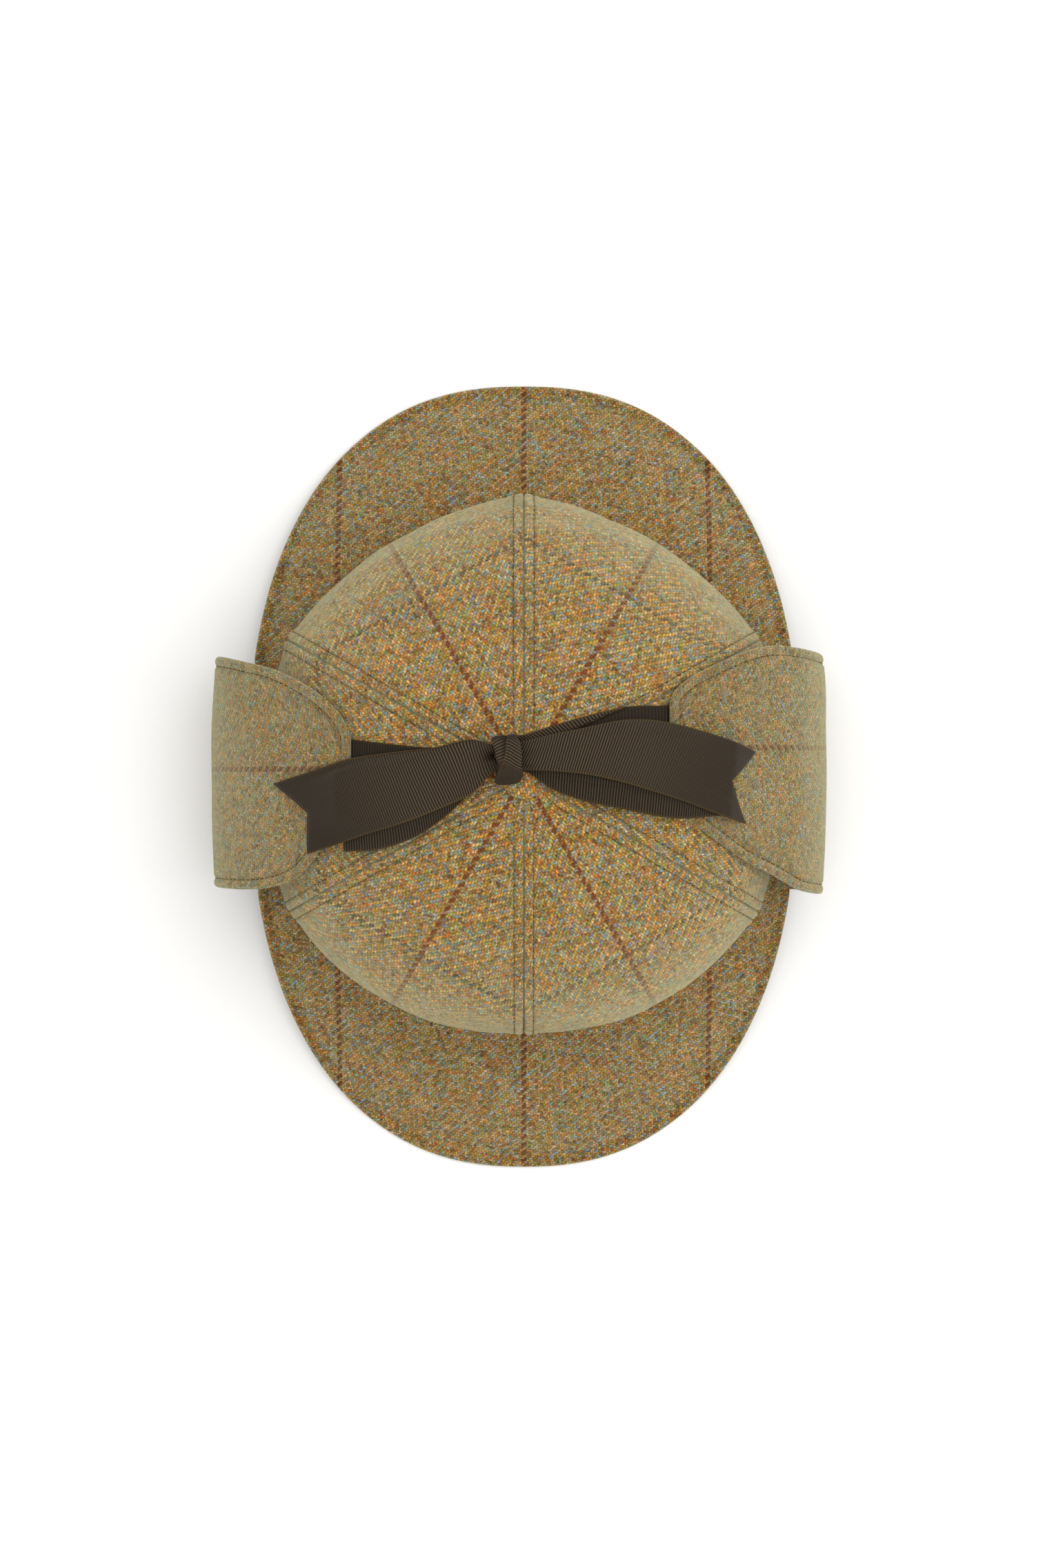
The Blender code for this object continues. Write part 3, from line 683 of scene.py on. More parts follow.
def panel_map(outer, start):
    """Place of each point on the flat panel: across, the walk from the middle column; along, the walk up
    the middle column, or on the dome the walk to the same distance in plan along the middle line."""
    middle = outer.shape[1] // 2
    across = walked(outer, 1) - walked(outer, 1)[:, middle:middle + 1]
    up_middle = walked(outer, 0)[:, middle]
    toward = np.radians(start + PANEL_SPAN / 2)
    in_plan = outer[..., 0] * np.cos(toward) + outer[..., 1] * np.sin(toward)
    dome = CLIMBS >= 1
    by_plan = np.interp(in_plan, in_plan[dome, middle][::-1], up_middle[dome][::-1])
    share = soft_step(outer[..., 2], BY_PLAN_FROM, BY_PLAN_TO)
    along = up_middle[:, None] * (1 - share) + by_plan * share
    line = np.interp(LINE_FROM_TOP, in_plan[dome, middle][::-1], up_middle[dome][::-1])
    return np.stack((across, along - line), axis=-1)


def stitch_mark(inset):
    """How much darker the cloth is painted where a row of stitches has pressed it flat, and in the seam
    itself, as painted shade in the dip and the groove: two bell curves over the distance from the edge."""
    return PRESSED_SHADE * bell(inset, STITCH_INSET, 0.5 * MM) + PRESSED_SHADE * bell(inset, 0.0, 0.55 * MM)


def seam_relief(outer, inset, seed):
    """Height added along both seams: the allowance's rise, less a dip at the stitches, with puckers."""
    rise = ALLOWANCE_RISE * (1 - soft_step(inset, 4.2 * MM, 6.2 * MM))
    dip = STITCH_DIP * bell(inset, STITCH_INSET, 0.6 * MM)
    climbed = walked(outer, 0)
    puckers = uneven(climbed, 0 * climbed, 7 * MM, seed) * bell(inset, 3.0 * MM, 2.5 * MM)
    slack = uneven(outer[..., 0] + outer[..., 2], outer[..., 1] - outer[..., 2], 38 * MM, 5)
    return rise - dip + PUCKER * puckers + SLACK * slack


for number, (name, (start, _, _)) in enumerate(zip(PANELS, SEAMS)):
    outer = panel_grid(start)
    flat = panel_map(outer, start) + (number * STRIPE_THREADS * THREAD, 0.0)
    inset = np.full(outer.shape[1], 1.0)
    inset[:len(EDGE_STEPS)], inset[-len(EDGE_STEPS):] = EDGE_STEPS, EDGE_STEPS[::-1]
    relief = seam_relief(outer, inset, number)
    out = outer - CROWN_CENTRE_HEIGHT * UP
    middle = outer - facing_along(outer, out) * CROWN_WALL / 2
    from_top = np.hypot(outer[..., 0], outer[..., 1])
    # The seams and stitch rows are painted darker as shade, less so near the top.
    mark = stitch_mark(inset) * (0.4 + 0.6 * soft_step(from_top, 10 * MM, 45 * MM))
    measures = middle, CROWN_WALL, flat, out, relief, 1.0, mark
    put_cut_cloth(name, crown_tweed, "stretched", ["front_peak"], *measures)

# %% [markdown]
# ## The button
#
# A small button covered in the same tweed hides the point where the panels meet. A square grid is
# squeezed into a disc, so the dome has neither a pole nor a seam.

# %% Covered button
BUTTON_RADIUS = 8.6 * MM
BUTTON_THICKNESS = 3.0 * MM
BUTTON_BASE = CROWN_TOP + 0.3 * MM
BUTTON_WALL = 1.2 * MM
BUTTON_ROUNDNESS = 2.0
BUTTON_CUT_FROM = 13 * MM


def button_grid(count):
    """A disc from a square: x = a sqrt(1 - b^2 / 2), y = b sqrt(1 - a^2 / 2), raised by a low dome."""
    a, b = np.meshgrid(*[np.sin(np.linspace(-np.pi / 2, np.pi / 2, count))] * 2)
    x, y = a * np.sqrt(1 - b * b / 2), b * np.sqrt(1 - a * a / 2)
    dome = np.sqrt(np.maximum(1 - 0.75 * (x * x + y * y), 0)) - 0.5
    height = BUTTON_BASE + BUTTON_THICKNESS * 0.15 + dome * BUTTON_THICKNESS * 0.9
    return np.stack((x * BUTTON_RADIUS, y * BUTTON_RADIUS, height), axis=-1)


button = button_grid(33)
button_shell = cloth_shell(button, BUTTON_WALL, button[..., :2] + BUTTON_CUT_FROM, UP, 0.0, BUTTON_ROUNDNESS)
put_piece("crown_button", button_shell, crown_tweed)

# %% [markdown]
# ## The peaks
#
# Each peak is stiff: two layers of tweed over card. Its outline is a rounded oval round the crown, and
# it slopes down like a cone until its edge meets the table. The cloth isn't cut round the cone, so the
# stripes run straight from the crown to the edge.

# %% Shape of the peaks
PEAK_LENGTH = 159.0 * MM
PEAK_SLOPE = 0.62
PEAK_END = 75.0
PEAK_CORNER = 65.0
PEAK_CORNER_WIDTH = 0.22
PEAK_BULGE = 2.2 * MM
PEAK_WALL = 3.0 * MM
PEAK_GAP = 0.15 * MM
PEAK_ROOT, PEAK_EDGE = 3.6 * MM, 4.0 * MM
ROOT_EASE, EDGE_EASE = 0.12, 0.1
PEAK_ROUNDNESS = 1.15
PEAK_SLACK = 0.25 * MM
PEAKS = (
    # name, direction along Y, half width of the outline, fullness, distance of the navy line in plan
    ("front_peak", -1.0, 110.2 * MM, 2.33, 66 * MM),
    ("back_peak", 1.0, 111.4 * MM, 2.38, 81 * MM),
)


def peak_grid(toward, half_width, fullness):
    """Upper face of a peak. Columns go round the rim, and rows from the rim to the outline
    (x / w)^n + (y / l)^n = 1. It falls along the slope, with a low bulge, and levels out at the edge."""
    along = np.linspace(-1.0, 1.0, 151)
    angle = np.radians(PEAK_END) * (0.6 * along + 0.4 * np.sin(along * np.pi / 2))
    sideways, forward = np.abs(np.sin(angle)), np.cos(angle)
    inner = 1 / np.hypot(np.cos(angle) / RIM_HALF_LENGTH, np.sin(angle) / RIM_HALF_WIDTH) + PEAK_GAP
    outline = (sideways / half_width) ** fullness + (forward / PEAK_LENGTH) ** fullness
    past = np.clip((np.abs(np.degrees(angle)) - PEAK_CORNER) / (PEAK_END - PEAK_CORNER), 0.0, 1.0)
    share = PEAK_CORNER_WIDTH + (1 - PEAK_CORNER_WIDTH) * np.sqrt(1 - past**2)
    width = (outline ** (-1 / fullness) - inner) * share
    root, edge = np.minimum(PEAK_ROOT, 0.2 * width), np.minimum(PEAK_EDGE, 0.3 * width)
    top = RIM_HEIGHT + PEAK_WALL
    drop = np.minimum(PEAK_SLOPE * (width - root - edge), top - PEAK_WALL)
    out = stations(width, 24).T * width
    run = (out - root) / (width - root - edge)
    leaving = soft_step(run, -ROOT_EASE, ROOT_EASE) * run
    arriving = 1 - soft_step(1 - run, -EDGE_EASE, EDGE_EASE) * (1 - run)
    level = np.clip(np.where(run < 0.5, leaving, arriving), 0, 1)
    run = np.clip(run, 0, 1)
    fall = drop * level - PEAK_BULGE * 4 * run * (1 - run) * drop / top
    radius = inner + out
    return np.stack((radius * np.sin(angle), toward * radius * forward, top - fall), axis=-1)


print("peaks reach", round(PEAK_LENGTH / MM, 1), "mm out")

# %% Two peaks
for number, (name, toward, half_width, fullness, line) in enumerate(PEAKS):
    upper = peak_grid(toward, half_width, fullness)
    across = upper[..., 0] + (7 + number) * STRIPE_THREADS * THREAD
    flat = np.stack((across, (upper[..., 1] - toward * line) * np.hypot(1.0, PEAK_SLOPE)), axis=-1)
    sag = PEAK_SLACK * uneven(upper[..., 0], upper[..., 1], 55 * MM, 20 + number)
    middle = upper - facing_along(upper, UP) * PEAK_WALL / 2
    measures = middle, PEAK_WALL, flat, UP, sag, PEAK_ROUNDNESS
    put_cut_cloth(name, peak_tweed, "stretched", ["floor"], *measures)

# %% [markdown]
# ## The ear flaps
#
# A flap is sewn under the rim, between the ends of the peaks. It's folded up on the outside and pulled in
# over the crown by its tie, so it stands clear of the wall and comes down on the dome. The table below
# gives its inner face by rows, and a smooth curve through them gives the rest.

# %% Shape of the flaps
FLAP_WALL = 3.0 * MM
FLAP_SLOPE = 0.56
FLAP_TURN = 108.8 * MM
FLAP_REACHES = (-0.06, 0.02, 0.34, 0.67, 1.0)
FLAP_ROOT_HALF = 46.0 * MM
FLAP_BELOW_RIM = 0.3 * MM
FLAP_SIDE_BOW = 0.6
FLAP_TOP_BOW = 3.0
FLAP_LEFT = (
    # in millimetres: distance from the middle, height, front edge, back edge
    (112.2, 19.5, -46.2, 47.2),
    (115.0, 34.0, -46.3, 47.6),
    (116.6, 52.0, -46.3, 47.9),
    (116.2, 68.0, -46.2, 48.2),
    (113.0, 83.0, -45.7, 48.7),
    (105.5, 97.5, -43.7, 49.8),
    (95.5, 109.0, -38.0, 50.3),
    (85.0, 119.2, -32.7, 48.0),
    (73.8, 128.2, -25.1, 43.2),
    (63.2, 134.5, -17.0, 37.8),
    (56.9, 137.5, -8.0, 32.5),
    (54.7, 138.3, 4.0, 28.0),
)
FLAP_RIGHT = (
    (113.0, 19.5, -44.0, 46.2),
    (117.8, 34.0, -43.8, 46.6),
    (120.2, 52.0, -43.6, 46.8),
    (119.8, 68.0, -43.6, 47.1),
    (115.5, 83.0, -43.8, 46.2),
    (106.5, 97.5, -43.8, 44.0),
    (96.2, 109.0, -42.5, 41.2),
    (86.5, 118.2, -38.5, 36.9),
    (78.5, 125.2, -30.0, 32.0),
    (71.8, 129.8, -19.0, 26.2),
    (67.2, 132.5, -8.0, 20.0),
    (65.1, 133.5, 1.0, 15.0),
)
LAID = 0.6 * MM


def flap_grid(side, table):
    """Inner face of a flap, rows from under the rim to the tip, columns from front to back. Its edges
    bow inwards beside the wall, and downwards over the dome, by the square of the distance aside."""
    table = np.array(table) * MM
    count = len(FLAP_REACHES)
    share = stations(np.concatenate((np.full(count, 2 * FLAP_ROOT_HALF), table[:, 3] - table[:, 2])), 30)
    root_y = FLAP_ROOT_HALF * (2 * share[:count] - 1)
    root_x = RIM_HALF_WIDTH * np.sqrt(1 - (root_y / RIM_HALF_LENGTH) ** 2)
    x = root_x + (FLAP_TURN - root_x) * np.array(FLAP_REACHES)[:, None]
    fall = FLAP_SLOPE * np.maximum(x - root_x - 1.0 * MM, 0)
    root = np.stack((x, root_y, RIM_HEIGHT - FLAP_BELOW_RIM - fall), -1)
    out, height, front, back = (table[:, k:k + 1] for k in range(4))
    y = front + (back - front) * share[count:]
    aside = (y - (front + back) / 2) ** 2
    over = np.clip((height - WIDEST_HEIGHT) / (CROWN_TOP - WIDEST_HEIGHT), 0, 1)
    above = np.stack((out - FLAP_SIDE_BOW * aside * (1 - over), y, height - FLAP_TOP_BOW * aside * over), -1)
    grid = on_curve(np.concatenate((root, above)), 6)
    lowest = np.where(grid[..., 2] > WIDEST_HEIGHT, crown_height(grid, LAID), 0.0)
    grid[..., 2] = np.maximum(grid[..., 2], lowest)
    grid[..., 0] *= side
    return grid


print("flaps reach", FLAP_LEFT[-1][1], "and", FLAP_RIGHT[-1][1], "mm up")

# %% Two flaps
FLAP_ROUNDNESS = 1.2
FLAP_GROOVE = 0.7 * MM
FLAP_SLACK = 0.3 * MM
FLAPS = (
    # wearer's side, direction along X, rows, distance of the rust stripe from the flap's middle
    ("left", 1.0, FLAP_LEFT, -11.0 * MM),
    ("right", -1.0, FLAP_RIGHT, -2.7 * MM),
)
for number, (side, toward, table, stripe_at) in enumerate(FLAPS):
    inner = flap_grid(toward, table)
    out = np.array((toward, 0.0, 1.0))
    middle = inner + facing_along(inner, out) * FLAP_WALL / 2
    across = inner[..., 1] + stripe_at + (10 + number) * STRIPE_THREADS * THREAD
    flat = np.stack((across, walked(inner, 0)), axis=-1)
    inset = edge_distance(middle)
    groove = FLAP_GROOVE * bell(inset, STITCH_INSET, 0.7 * MM)
    slack = FLAP_SLACK * uneven(inner[..., 1], walked(inner, 0), 42 * MM, 30 + number)
    # The stitch row round the edges is painted darker as shade in its groove.
    mark = 0.6 * stitch_mark(inset + 0.8 * MM * (inset < 1 * MM))
    measures = middle, FLAP_WALL, flat, out, slack - groove, FLAP_ROUNDNESS, mark
    put_cut_cloth(side + "_ear_flap", flap_tweed, "folded", ["crown_panel_side_" + side], *measures)

# %% [markdown]
# ## The bow
#
# Each flap's ribbon comes over the crown to the knot. From the knot a loop and a free end go to each
# side, in layers: ties, then loops, then ends. The tables give both edges of each ribbon as seen
# from above. A ribbon drawn tight lies on the highest cloth below it and spans the dips between.

# %% Edges of the ribbons
LEFT_TIE = (
    # in millimetres: back x, back y, front x, front y
    (1.6, 16.0, 1.6, 3.0),
    (11.3, 19.2, 12.0, 2.0),
    (26.4, 23.6, 27.0, 0.0),
    (40.0, 26.4, 40.5, -1.0),
    (56.0, 26.8, 55.8, -1.0),
)
RIGHT_TIE = (
    (-12.6, 11.5, -12.6, 1.0),
    (-24.0, 11.2, -24.0, -6.5),
    (-37.0, 10.9, -37.0, -13.0),
    (-50.0, 12.1, -51.0, -14.5),
    (-66.2, 14.1, -67.2, -13.0),
)
LEFT_LOOP = (
    (1.6, 11.0, 1.6, 1.2),
    (12.0, 12.0, 11.1, -5.2),
    (26.0, 13.5, 23.8, -9.6),
    (43.0, 13.7, 40.0, -13.0),
    (60.0, 13.5, 57.0, -16.0),
    (77.2, 13.4, 74.0, -15.2),
)
RIGHT_LOOP = (
    (-12.6, 10.0, -12.6, 0.5),
    (-21.0, 9.5, -21.5, -7.8),
    (-33.0, 7.0, -30.6, -16.1),
    (-46.0, 3.0, -41.3, -23.2),
    (-58.0, 0.8, -55.5, -27.9),
    (-67.6, -0.2, -67.0, -28.8),
)
LEFT_TAIL = (
    (1.6, 13.4, 1.6, 2.2),
    (11.0, 15.7, 12.5, 1.8),
    (24.0, 18.4, 23.5, 0.6),
    (38.0, 21.2, 35.0, -1.8),
    (52.0, 20.8, 47.5, -5.4),
    (68.0, 17.0, 60.5, -9.6),
    (80.0, 13.3, 73.0, -14.3),
    (88.9, 9.4, 85.1, -18.5),
)
RIGHT_TAIL = (
    (-12.6, 12.0, -12.2, 0.8),
    (-20.4, 13.8, -18.5, -6.0),
    (-33.0, 10.9, -27.5, -10.5),
    (-50.0, 9.0, -43.5, -17.0),
    (-66.0, 6.7, -58.5, -21.7),
    (-80.0, 2.3, -71.5, -26.2),
    (-96.5, -2.9, -82.8, -29.8),
)
KNOT_CENTRE = np.array((-5.5, 6.2)) * MM
RIBBON_WALL = 0.6 * MM
RIBBON_ROUNDNESS = 1.6
SHARES_TO_EDGE = np.array((0, 0.006, 0.015, 0.03))
RIBBON_SHARES = np.concatenate((SHARES_TO_EDGE, np.linspace(0.05, 0.95, 31), 1 - SHARES_TO_EDGE[::-1]))


def ribbon_plan(table, between):
    """A ribbon seen from above: rows go out from the knot on a smooth curve, starting inside it."""
    table = np.array(table).reshape(-1, 2, 2) * MM
    hidden = table[0] + 0.6 * (KNOT_CENTRE - table[0].mean(0)) * (1.0, 0.3)
    share = RIBBON_SHARES[:, None]
    return on_curve([row[0] * (1 - share) + row[1] * share for row in (hidden, *table)], between)


def swallow_tail(grids, notch):
    """The grids with each column cut shorter, by the notch in the middle and less and less beside it."""
    cut = notch * (1 - np.abs(2 * RIBBON_SHARES - 1)) / walked(grids[0], 0)[-1]
    place = np.arange(len(grids[0]))[:, None] * (1 - cut)
    below = np.minimum(place.astype(int), len(grids[0]) - 2)
    part, column = (place - below)[..., None], np.arange(len(RIBBON_SHARES))
    return [grid[below, column] * (1 - part) + grid[below + 1, column] * part for grid in grids]


print("ends reach", LEFT_TAIL[-1][0], "and", RIGHT_TAIL[-1][0], "mm")

# %% Laying cloth on cloth
REACH = 3.0 * MM
ON_TOP_FROM = 100 * MM
TIGHTENING_ROUNDS = 2500
GATHER, GATHER_RIBS = 0.35 * MM, 9.0


def cloth_below(plan, covers):
    """Height of the highest cloth within reach of each plan point: the dome at eight points round it, and
    the points of the pieces that already lie there."""
    turn = np.arange(8) * np.pi / 4
    ring = np.stack((np.cos(turn), np.sin(turn)), axis=-1) * REACH
    highest = np.maximum(crown_height(plan), crown_height(plan[..., None, :] + ring).max(-1))
    flat = plan.reshape(-1, 2).astype(np.float32)
    for points in covers:
        cloth = points[points[:, 2] > ON_TOP_FROM].astype(np.float32)
        away = (flat[:, None, 0] - cloth[:, 0]) ** 2 + (flat[:, None, 1] - cloth[:, 1]) ** 2
        near = np.where(away < REACH * REACH, cloth[:, 2], -1.0).max(axis=1)
        highest = np.maximum(highest, near.reshape(highest.shape))
    return highest


def drawn_tight(under, start):
    """Each column's lowest line that is nowhere hollow from below: it lies on what is under it and spans the
    dips. Every round lifts a point to its neighbours' average."""
    height = under.copy()
    height[:2] = start
    for _ in range(TIGHTENING_ROUNDS):
        height[2:-1] = np.maximum(under[2:-1], (height[1:-2] + height[3:]) / 2)
    return height


def ribbon_map(middle):
    """Place on the flat ribbon: across from the middle of its real width, and along from the knot."""
    along = walked(middle, 0)[:, len(RIBBON_SHARES) // 2]
    across = (RIBBON_SHARES - 0.5) * RIBBON_WIDTH
    return np.stack(np.broadcast_arrays(across[None, :], along[:, None]), axis=-1)


def gathers(plan):
    """Folds that spread out from the knot like the ribs of a fan, and die away in 30 mm. All layers share
    them, so that they nest."""
    toward = plan - KNOT_CENTRE
    distance = np.linalg.norm(toward, axis=-1)
    fan = np.arctan2(toward[..., 1], np.abs(toward[..., 0]))
    fade = bell(distance, 7 * MM, 15 * MM) * soft_step(distance, 3 * MM, 7 * MM)
    return GATHER * fade * np.cos(fan * GATHER_RIBS + 1.0)


# %% Ties
CREASED_SHADE, CREASED_WIDTH = 0.7, 6.5 * MM
covers = [shells["left_ear_flap"]["front"].reshape(-1, 3), shells["right_ear_flap"]["front"].reshape(-1, 3)]


def put_ribbon(name, middle, flat, material, held, dulled, smooth):
    """Give a ribbon its two faces and put it in place of its solid. Beside the knot, where it creases, its
    colour is painted darker by a bell curve over the distance from there: painted shade."""
    out = unit(middle - middle.mean((0, 1))) if held == "folded" else UP
    from_knot = np.linalg.norm((middle[..., :2] - KNOT_CENTRE) * (1.0, 0.6), axis=-1)
    # Painted shade: beside the knot, where the ribbon creases, its colour is painted darker.
    dulled = 1 - (1 - dulled) * (1 - CREASED_SHADE * bell(from_knot, 0.0, CREASED_WIDTH))
    shells[name] = cloth_shell(middle, RIBBON_WALL, flat, out, 0.0, RIBBON_ROUNDNESS, dulled, smooth)
    piece = put_piece(name, shells[name], material)


TIE_KNOT_HEIGHT = 151.3 * MM
CREASE = np.array(((18.4, 17.3), (39.2, 26.4))) * MM
CREASE_STEP = 1.2 * MM
CREASE_HALF = 0.35 * MM
for side, table in (("left", LEFT_TIE), ("right", RIGHT_TIE)):
    plan = ribbon_plan(table, 20)
    height = drawn_tight(cloth_below(plan, []) + LAID, TIE_KNOT_HEIGHT) + RIBBON_WALL / 2
    middle = np.dstack((plan, height + gathers(plan)))
    flat = ribbon_map(middle)
    above = 0.0
    if side == "left":
        # This tie is turned over on a slanting line. The part towards the knot lies above.
        ahead = unit(CREASE[1] - CREASE[0])
        from_line = plan - CREASE[0]
        past_line = from_line[..., 1] * ahead[0] - from_line[..., 0] * ahead[1]
        above = soft_step(past_line, -CREASE_HALF, CREASE_HALF)
        middle[..., 2] += CREASE_STEP * above
        flat[..., 1] = 0.8 * (flat[..., 1] - 0.5 * above * flat[..., 0])
    # Painted shade: beyond the crease, and all along the right tie, the tie is smooth and its colour painted
    # darker, where it lies low under the bow.
    put_ribbon(side + "_tie", middle, flat, ribbon_cloth, "laid", 0.0, 1 - above)
covers += [shells[name]["points"] for name in ("left_tie", "right_tie")]

# %% [markdown]
# A loop is one ribbon that runs out from the knot, turns over at its end and comes back above itself. Its
# two layers stand apart in the middle, so that the loop looks soft and open.

# %% Loops
LOOP_KNOT_HEIGHT = 152.7 * MM
LOOP_OPENING = ((0.0, 0.3, 0.6, 1.0), (0.2 * MM, 0.8 * MM, 4.4 * MM, 2.0 * MM))
# Painted shade: the loops lie under the free ends, so their colour is painted darker all over by this share.
LOOP_SHADE = 0.30


def loop_grid(table):
    """The lower layer, half a circle round the fold, and the upper layer back to the knot."""
    plan = ribbon_plan(table, 9)
    under = drawn_tight(cloth_below(plan, covers) + LAID, LOOP_KNOT_HEIGHT) + gathers(plan)
    lower = np.dstack((plan, under + RIBBON_WALL / 2))
    opening = np.interp(np.linspace(0, 1, len(plan)), *LOOP_OPENING)
    opening = np.convolve(np.pad(opening, 6, "edge"), np.full(13, 1 / 13), "valid")[:, None]
    upper = np.dstack((plan, lower[..., 2] + opening + 0.5 * MM))
    outward = unit(plan[-1] - plan[-2])
    radius = (upper[-1, :, 2] - lower[-1, :, 2]) / 2
    turn = np.linspace(-np.pi / 2, np.pi / 2, 11)[1:-1, None]
    fold_plan = plan[-1] + outward * (radius * np.cos(turn))[..., None]
    fold_height = lower[-1, :, 2] + radius * (1 + np.sin(turn))
    return np.concatenate((lower, np.dstack((fold_plan, fold_height)), upper[::-1]))


for side, table in (("left", LEFT_LOOP), ("right", RIGHT_LOOP)):
    grid = loop_grid(table)
    put_ribbon(side + "_loop", grid, ribbon_map(grid), ribbon_cloth, "folded", LOOP_SHADE, 0.0)
covers += [shells[name]["points"] for name in ("left_loop", "right_loop")]

# %% Free ends, cut like a swallow's tail
TAIL_KNOT_HEIGHT = 156.5 * MM
TAIL_LIFT = 2.2 * MM
TAIL_SLACK = 0.3 * MM
PINCH_AT, PINCH_WIDTH, PINCH_LENGTH, PINCH_SHADE = 0.42, 0.13, 4 * MM, 0.96
TAILS = (
    # wearer's side, edges, depth of the notch, lean of the ribs, depth of the pinch beside the knot
    ("left", LEFT_TAIL, 9.4 * MM, 0.2, 0.0),
    ("right", RIGHT_TAIL, 6.9 * MM, 0.15, 2.0 * MM),
)
PRESSED_FROM, PRESSED_TO = 22 * MM, 84 * MM
for number, (side, table, notch, lean, depth) in enumerate(TAILS):
    plan = ribbon_plan(table, 10)
    height = drawn_tight(cloth_below(plan, covers) + LAID, TAIL_KNOT_HEIGHT) + RIBBON_WALL / 2
    slack = TAIL_SLACK * uneven(plan[..., 0], plan[..., 1], 30 * MM, 50 + number)
    run = np.linspace(0, 1, len(plan))[:, None]
    lift = TAIL_LIFT * np.sin(np.pi * np.clip(run / 0.8, 0, 1)) ** 2
    from_knot = np.linalg.norm(plan - plan[5:6], axis=-1)
    pinch = bell(from_knot, 0.0, PINCH_LENGTH) * bell(RIBBON_SHARES, PINCH_AT, PINCH_WIDTH)
    middle = np.dstack((plan, height + gathers(plan) + slack + lift - depth * pinch))
    flat = ribbon_map(middle)
    flat[..., 1] += lean * flat[..., 0]
    middle, flat, pinch = swallow_tail([middle, flat, pinch[..., None]], notch)
    # Painted shade in the fold of the pinch beside the knot.
    painted_pinch_shade = PINCH_SHADE * pinch[..., 0] * (depth > 0)
    # Towards their ends the tails get smoother and their colour is painted darker: painted shade.
    pressed = soft_step(flat[..., 1], PRESSED_FROM, PRESSED_TO)
    put_ribbon(side + "_tail", middle, flat, pressed_shaded_ribbon, "laid", painted_pinch_shade, pressed)

# %% [markdown]
# The knot is the ribbon wrapped round the bow, and then once more a little askew, so that its ribs meet in
# a V. Each turn is a band on a rounded ring, and a table gives its edges as seen from above. The first turn
# closes at both ends, as the filling of the knot. The last one shows its woven edge, and it's pulled smooth
# where it dives under the bow, and painted darker there: painted shade.

# %% Knot
KNOT_BASE = 151.1 * MM
KNOT_HALF = np.array((9.0, 4.7)) * MM
KNOT_TURNS = (
    # lean of the ribs, size, how far it's drawn in at its edges, how far the left edge lies from the
    # ribbon's middle, painted shade of its right part under the next turn, and in millimetres the left edge
    # and the right edge at seven even stations from front to back
    (0.0, 0.86, 0.94, 0.0, 0.0,
        (-4.9, -4.2, -3.9, -4.4, -4.9, -5.4, -5.5), (4.2, 4.6, 4.1, 4.2, 4.2, 3.8, 3.0)),
    (0.36, 0.92, 0.12, 0.0, 0.75,
        (-5.4, -4.8, -4.0, -4.8, -5.3, -6.2, -6.7), (-1.0, -1.0, 0.0, 0.5, 1.0, 1.5, 1.5)),
    (-0.54, 1.06, 0.12, RIBBON_WIDTH / 2, 0.0,
        (-5.0, -4.3, -3.0, -2.1, -1.5, -1.2, -1.0), (4.4, 5.3, 4.6, 4.8, 4.7, 4.3, 3.2)),
)
ROUNDING = 2.7
SMOOTH_FRONT = (-2.2 * MM, -0.38)
SMOOTH_BACK = 7.4 * MM
POINTS_ROUND, POINTS_ACROSS = 121, 25
RIBS_SPREAD = 0.86


def knot_turn(left, right, size, drawn_in):
    """A band round the X axis: (y / a)^n + (z / b)^n = 1. Its edges go by y along the table's curves, and it
    is drawn in towards both by the fourth power of the distance from its middle."""
    around = np.linspace(-np.pi / 2, 3 * np.pi / 2, POINTS_ROUND)[:, None]
    share = np.sin(np.linspace(-np.pi / 2, np.pi / 2, POINTS_ACROSS))[None, :]
    y, z = (
        np.sign(wave) * np.abs(wave) ** (2 / ROUNDING) * half
        for wave, half in zip((np.cos(around), np.sin(around)), KNOT_HALF)
    )
    edges = (on_curve(np.array(edge) * MM, 8) for edge in (left, right))
    places = np.linspace(-KNOT_HALF[0], KNOT_HALF[0], 6 * 8 + 1)
    left, right = (np.interp(y, places, edge) for edge in edges)
    x = (left + right + (right - left) * share) / 2
    thin = 1 - drawn_in * share**4
    slant = 0.09 * x * soft_step(-y, 2 * MM, 8 * MM)
    return np.stack((x, y * thin * (1 + 0.35 * (size - 1)) + slant, z * thin * size), axis=-1)


centre = np.array((*KNOT_CENTRE, KNOT_BASE + KNOT_HALF[1]))
parts = []
for rib_lean, size, drawn_in, off_middle, shade, *edges in KNOT_TURNS:
    ring = knot_turn(*edges, size, drawn_in)
    across = ring[..., 0] - ring[:, :1, 0] - off_middle
    middle_column = walked(ring, 0)[:, POINTS_ACROSS // 2, None]
    along = RIBS_SPREAD * middle_column + rib_lean * ring[..., 0]
    past_front = SMOOTH_FRONT[0] + SMOOTH_FRONT[1] * ring[..., 0] - ring[..., 1]
    smooth = soft_step(np.maximum(past_front, ring[..., 1] - SMOOTH_BACK), -0.9 * MM, 0.9 * MM)
    flat = np.stack((across, along), axis=-1)
    shaded = shade * soft_step(np.linspace(0, 1, ring.shape[1]), 0.36, 0.60)
    measures = ring + centre, RIBBON_WALL, flat, ring * (0, 1, 1), 0.0, RIBBON_ROUNDNESS, shaded, smooth
    parts.append(cloth_shell(*measures))
shift = np.cumsum([0] + [len(part["points"]) for part in parts])
knot = {key: np.concatenate([part[key] for part in parts]) for key in ("points", "map", "dulled", "smooth")}
knot["quads"] = np.concatenate([part["quads"] + first for part, first in zip(parts, shift)])
put_piece("bow_knot", knot, knotted_ribbon)

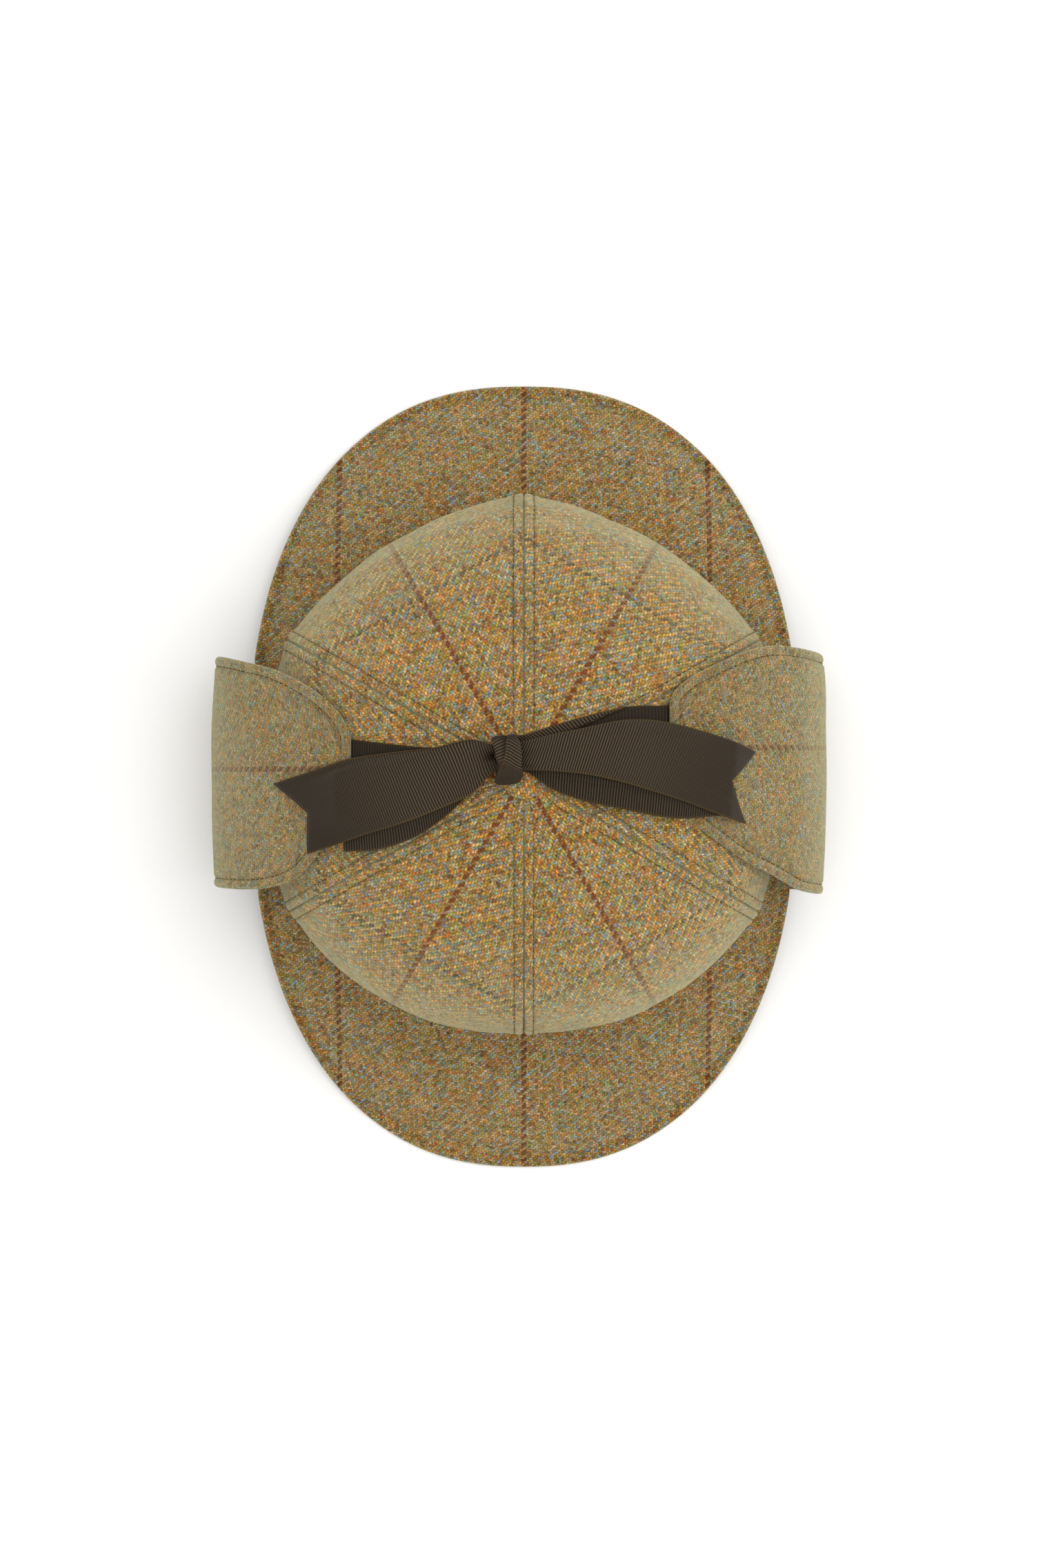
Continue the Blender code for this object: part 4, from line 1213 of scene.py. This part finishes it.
# %% [markdown]
# ## Topstitching
#
# A machine sews a straight row 4 mm from each seam and round the edges of the flaps. Each stitch is a
# short piece of thread that rises from one hole and goes down the next. One small shape is repeated
# along the rows.

# %% Stitches
STITCH_PITCH = 3.0 * MM
STITCH_LENGTH = 2.5 * MM
THREAD_RADIUS = 0.22 * MM
RINGS, SPOKES = 7, 6
FIRST_FREE_ROW = 14


def along_path(path, normal):
    """Middle of each stitch on a path, with the way the path goes there and the way the cloth faces."""
    distance = walked(path[:, None], 0)[:, 0]
    places = np.arange(STITCH_PITCH / 2, distance[-1], STITCH_PITCH)
    sources = path, np.gradient(path, axis=0), normal
    centre, ahead, up = (
        np.stack([np.interp(places, distance, values[:, k]) for k in range(3)], -1) for values in sources
    )
    return centre, unit(ahead), unit(up)


def stitches(paths):
    """Thread along all the paths: seven rings of six points a stitch, thinner and lower at its ends."""
    centre, ahead, up = (np.concatenate(values) for values in zip(*(along_path(*path) for path in paths)))
    aside = np.cross(up, ahead)
    share = np.linspace(-1, 1, RINGS)[:, None]
    turn = np.arange(SPOKES)[None, :] * 2 * np.pi / SPOKES
    radius = THREAD_RADIUS * np.sqrt(1.02 - share**2)
    forward = share * STITCH_LENGTH / 2 + 0 * turn
    sideways = radius * np.cos(turn)
    upward = radius * np.sin(turn) + 0.16 * MM * (1 - share**2) - 0.10 * MM
    points = centre[:, None]
    for values, way in ((forward, ahead), (sideways, aside), (upward, up)):
        points = points + values.reshape(1, -1, 1) * way[:, None]
    ring, spoke = np.meshgrid(np.arange(RINGS - 1) * SPOKES, np.arange(SPOKES), indexing="ij")
    here, beside = ring + spoke, ring + (spoke + 1) % SPOKES
    sides = np.stack((here + SPOKES, beside + SPOKES, beside, here), -1).reshape(-1, 4)
    first_cap = np.array(((0, 1, 2, 3), (0, 3, 4, 5)))
    last_cap = (RINGS - 1) * SPOKES + np.array(((3, 2, 1, 0), (5, 4, 3, 0)))
    template = np.concatenate((sides, first_cap, last_cap))
    count, size = len(centre), RINGS * SPOKES
    quads = (template[None] + size * np.arange(count)[:, None, None]).reshape(-1, 4)
    cloth_map = np.broadcast_to(np.stack((forward, sideways), -1).reshape(1, -1, 2), (count, size, 2))
    return {"points": points.reshape(-1, 3), "quads": quads, "map": cloth_map.reshape(-1, 2)}


def seam_paths(shell):
    """The two stitched columns of a panel, as far up as the button."""
    wide = np.hypot(shell["front"][..., 0], shell["front"][..., 1]).min(1) > BUTTON_RADIUS
    return [(shell["front"][wide, k], shell["normal"][wide, k]) for k in (STITCH_STEP, -1 - STITCH_STEP)]


def edge_path(shell):
    """The line at the stitches' inset from a flap's three free edges: each edge point moved inwards, then
    dropped onto the cloth's face, and left out where another edge is nearer."""
    front, normal = shell["front"], shell["normal"]
    edge, up = (
        np.concatenate((grid[FIRST_FREE_ROW:, 0], grid[-1, 1:], grid[-2:FIRST_FREE_ROW - 1:-1, -1]))
        for grid in (front, normal)
    )
    aside = unit(np.cross(up, unit(np.gradient(edge, axis=0))))
    aside *= np.sign((aside * (front.mean((0, 1)) - edge)).sum())
    moved = edge + aside * STITCH_INSET
    cloth, way = front.reshape(-1, 3), normal.reshape(-1, 3)
    nearest = ((moved[:, None] - cloth) ** 2).sum(-1).argmin(1)
    lifted = ((moved - cloth[nearest]) * way[nearest]).sum(-1, keepdims=True)
    moved = moved - lifted * way[nearest]
    clear = np.sqrt(((moved[:, None] - edge) ** 2).sum(-1).min(1)) > 0.93 * STITCH_INSET
    return moved[clear], way[nearest][clear]


crown_rows = stitches([path for name in PANELS for path in seam_paths(shells[name])])
put_piece("crown_topstitching", crown_rows, thread)
flap_rows = stitches([edge_path(shells[name]) for name in ("left_ear_flap", "right_ear_flap")])
put_piece("flap_topstitching", flap_rows, thread)
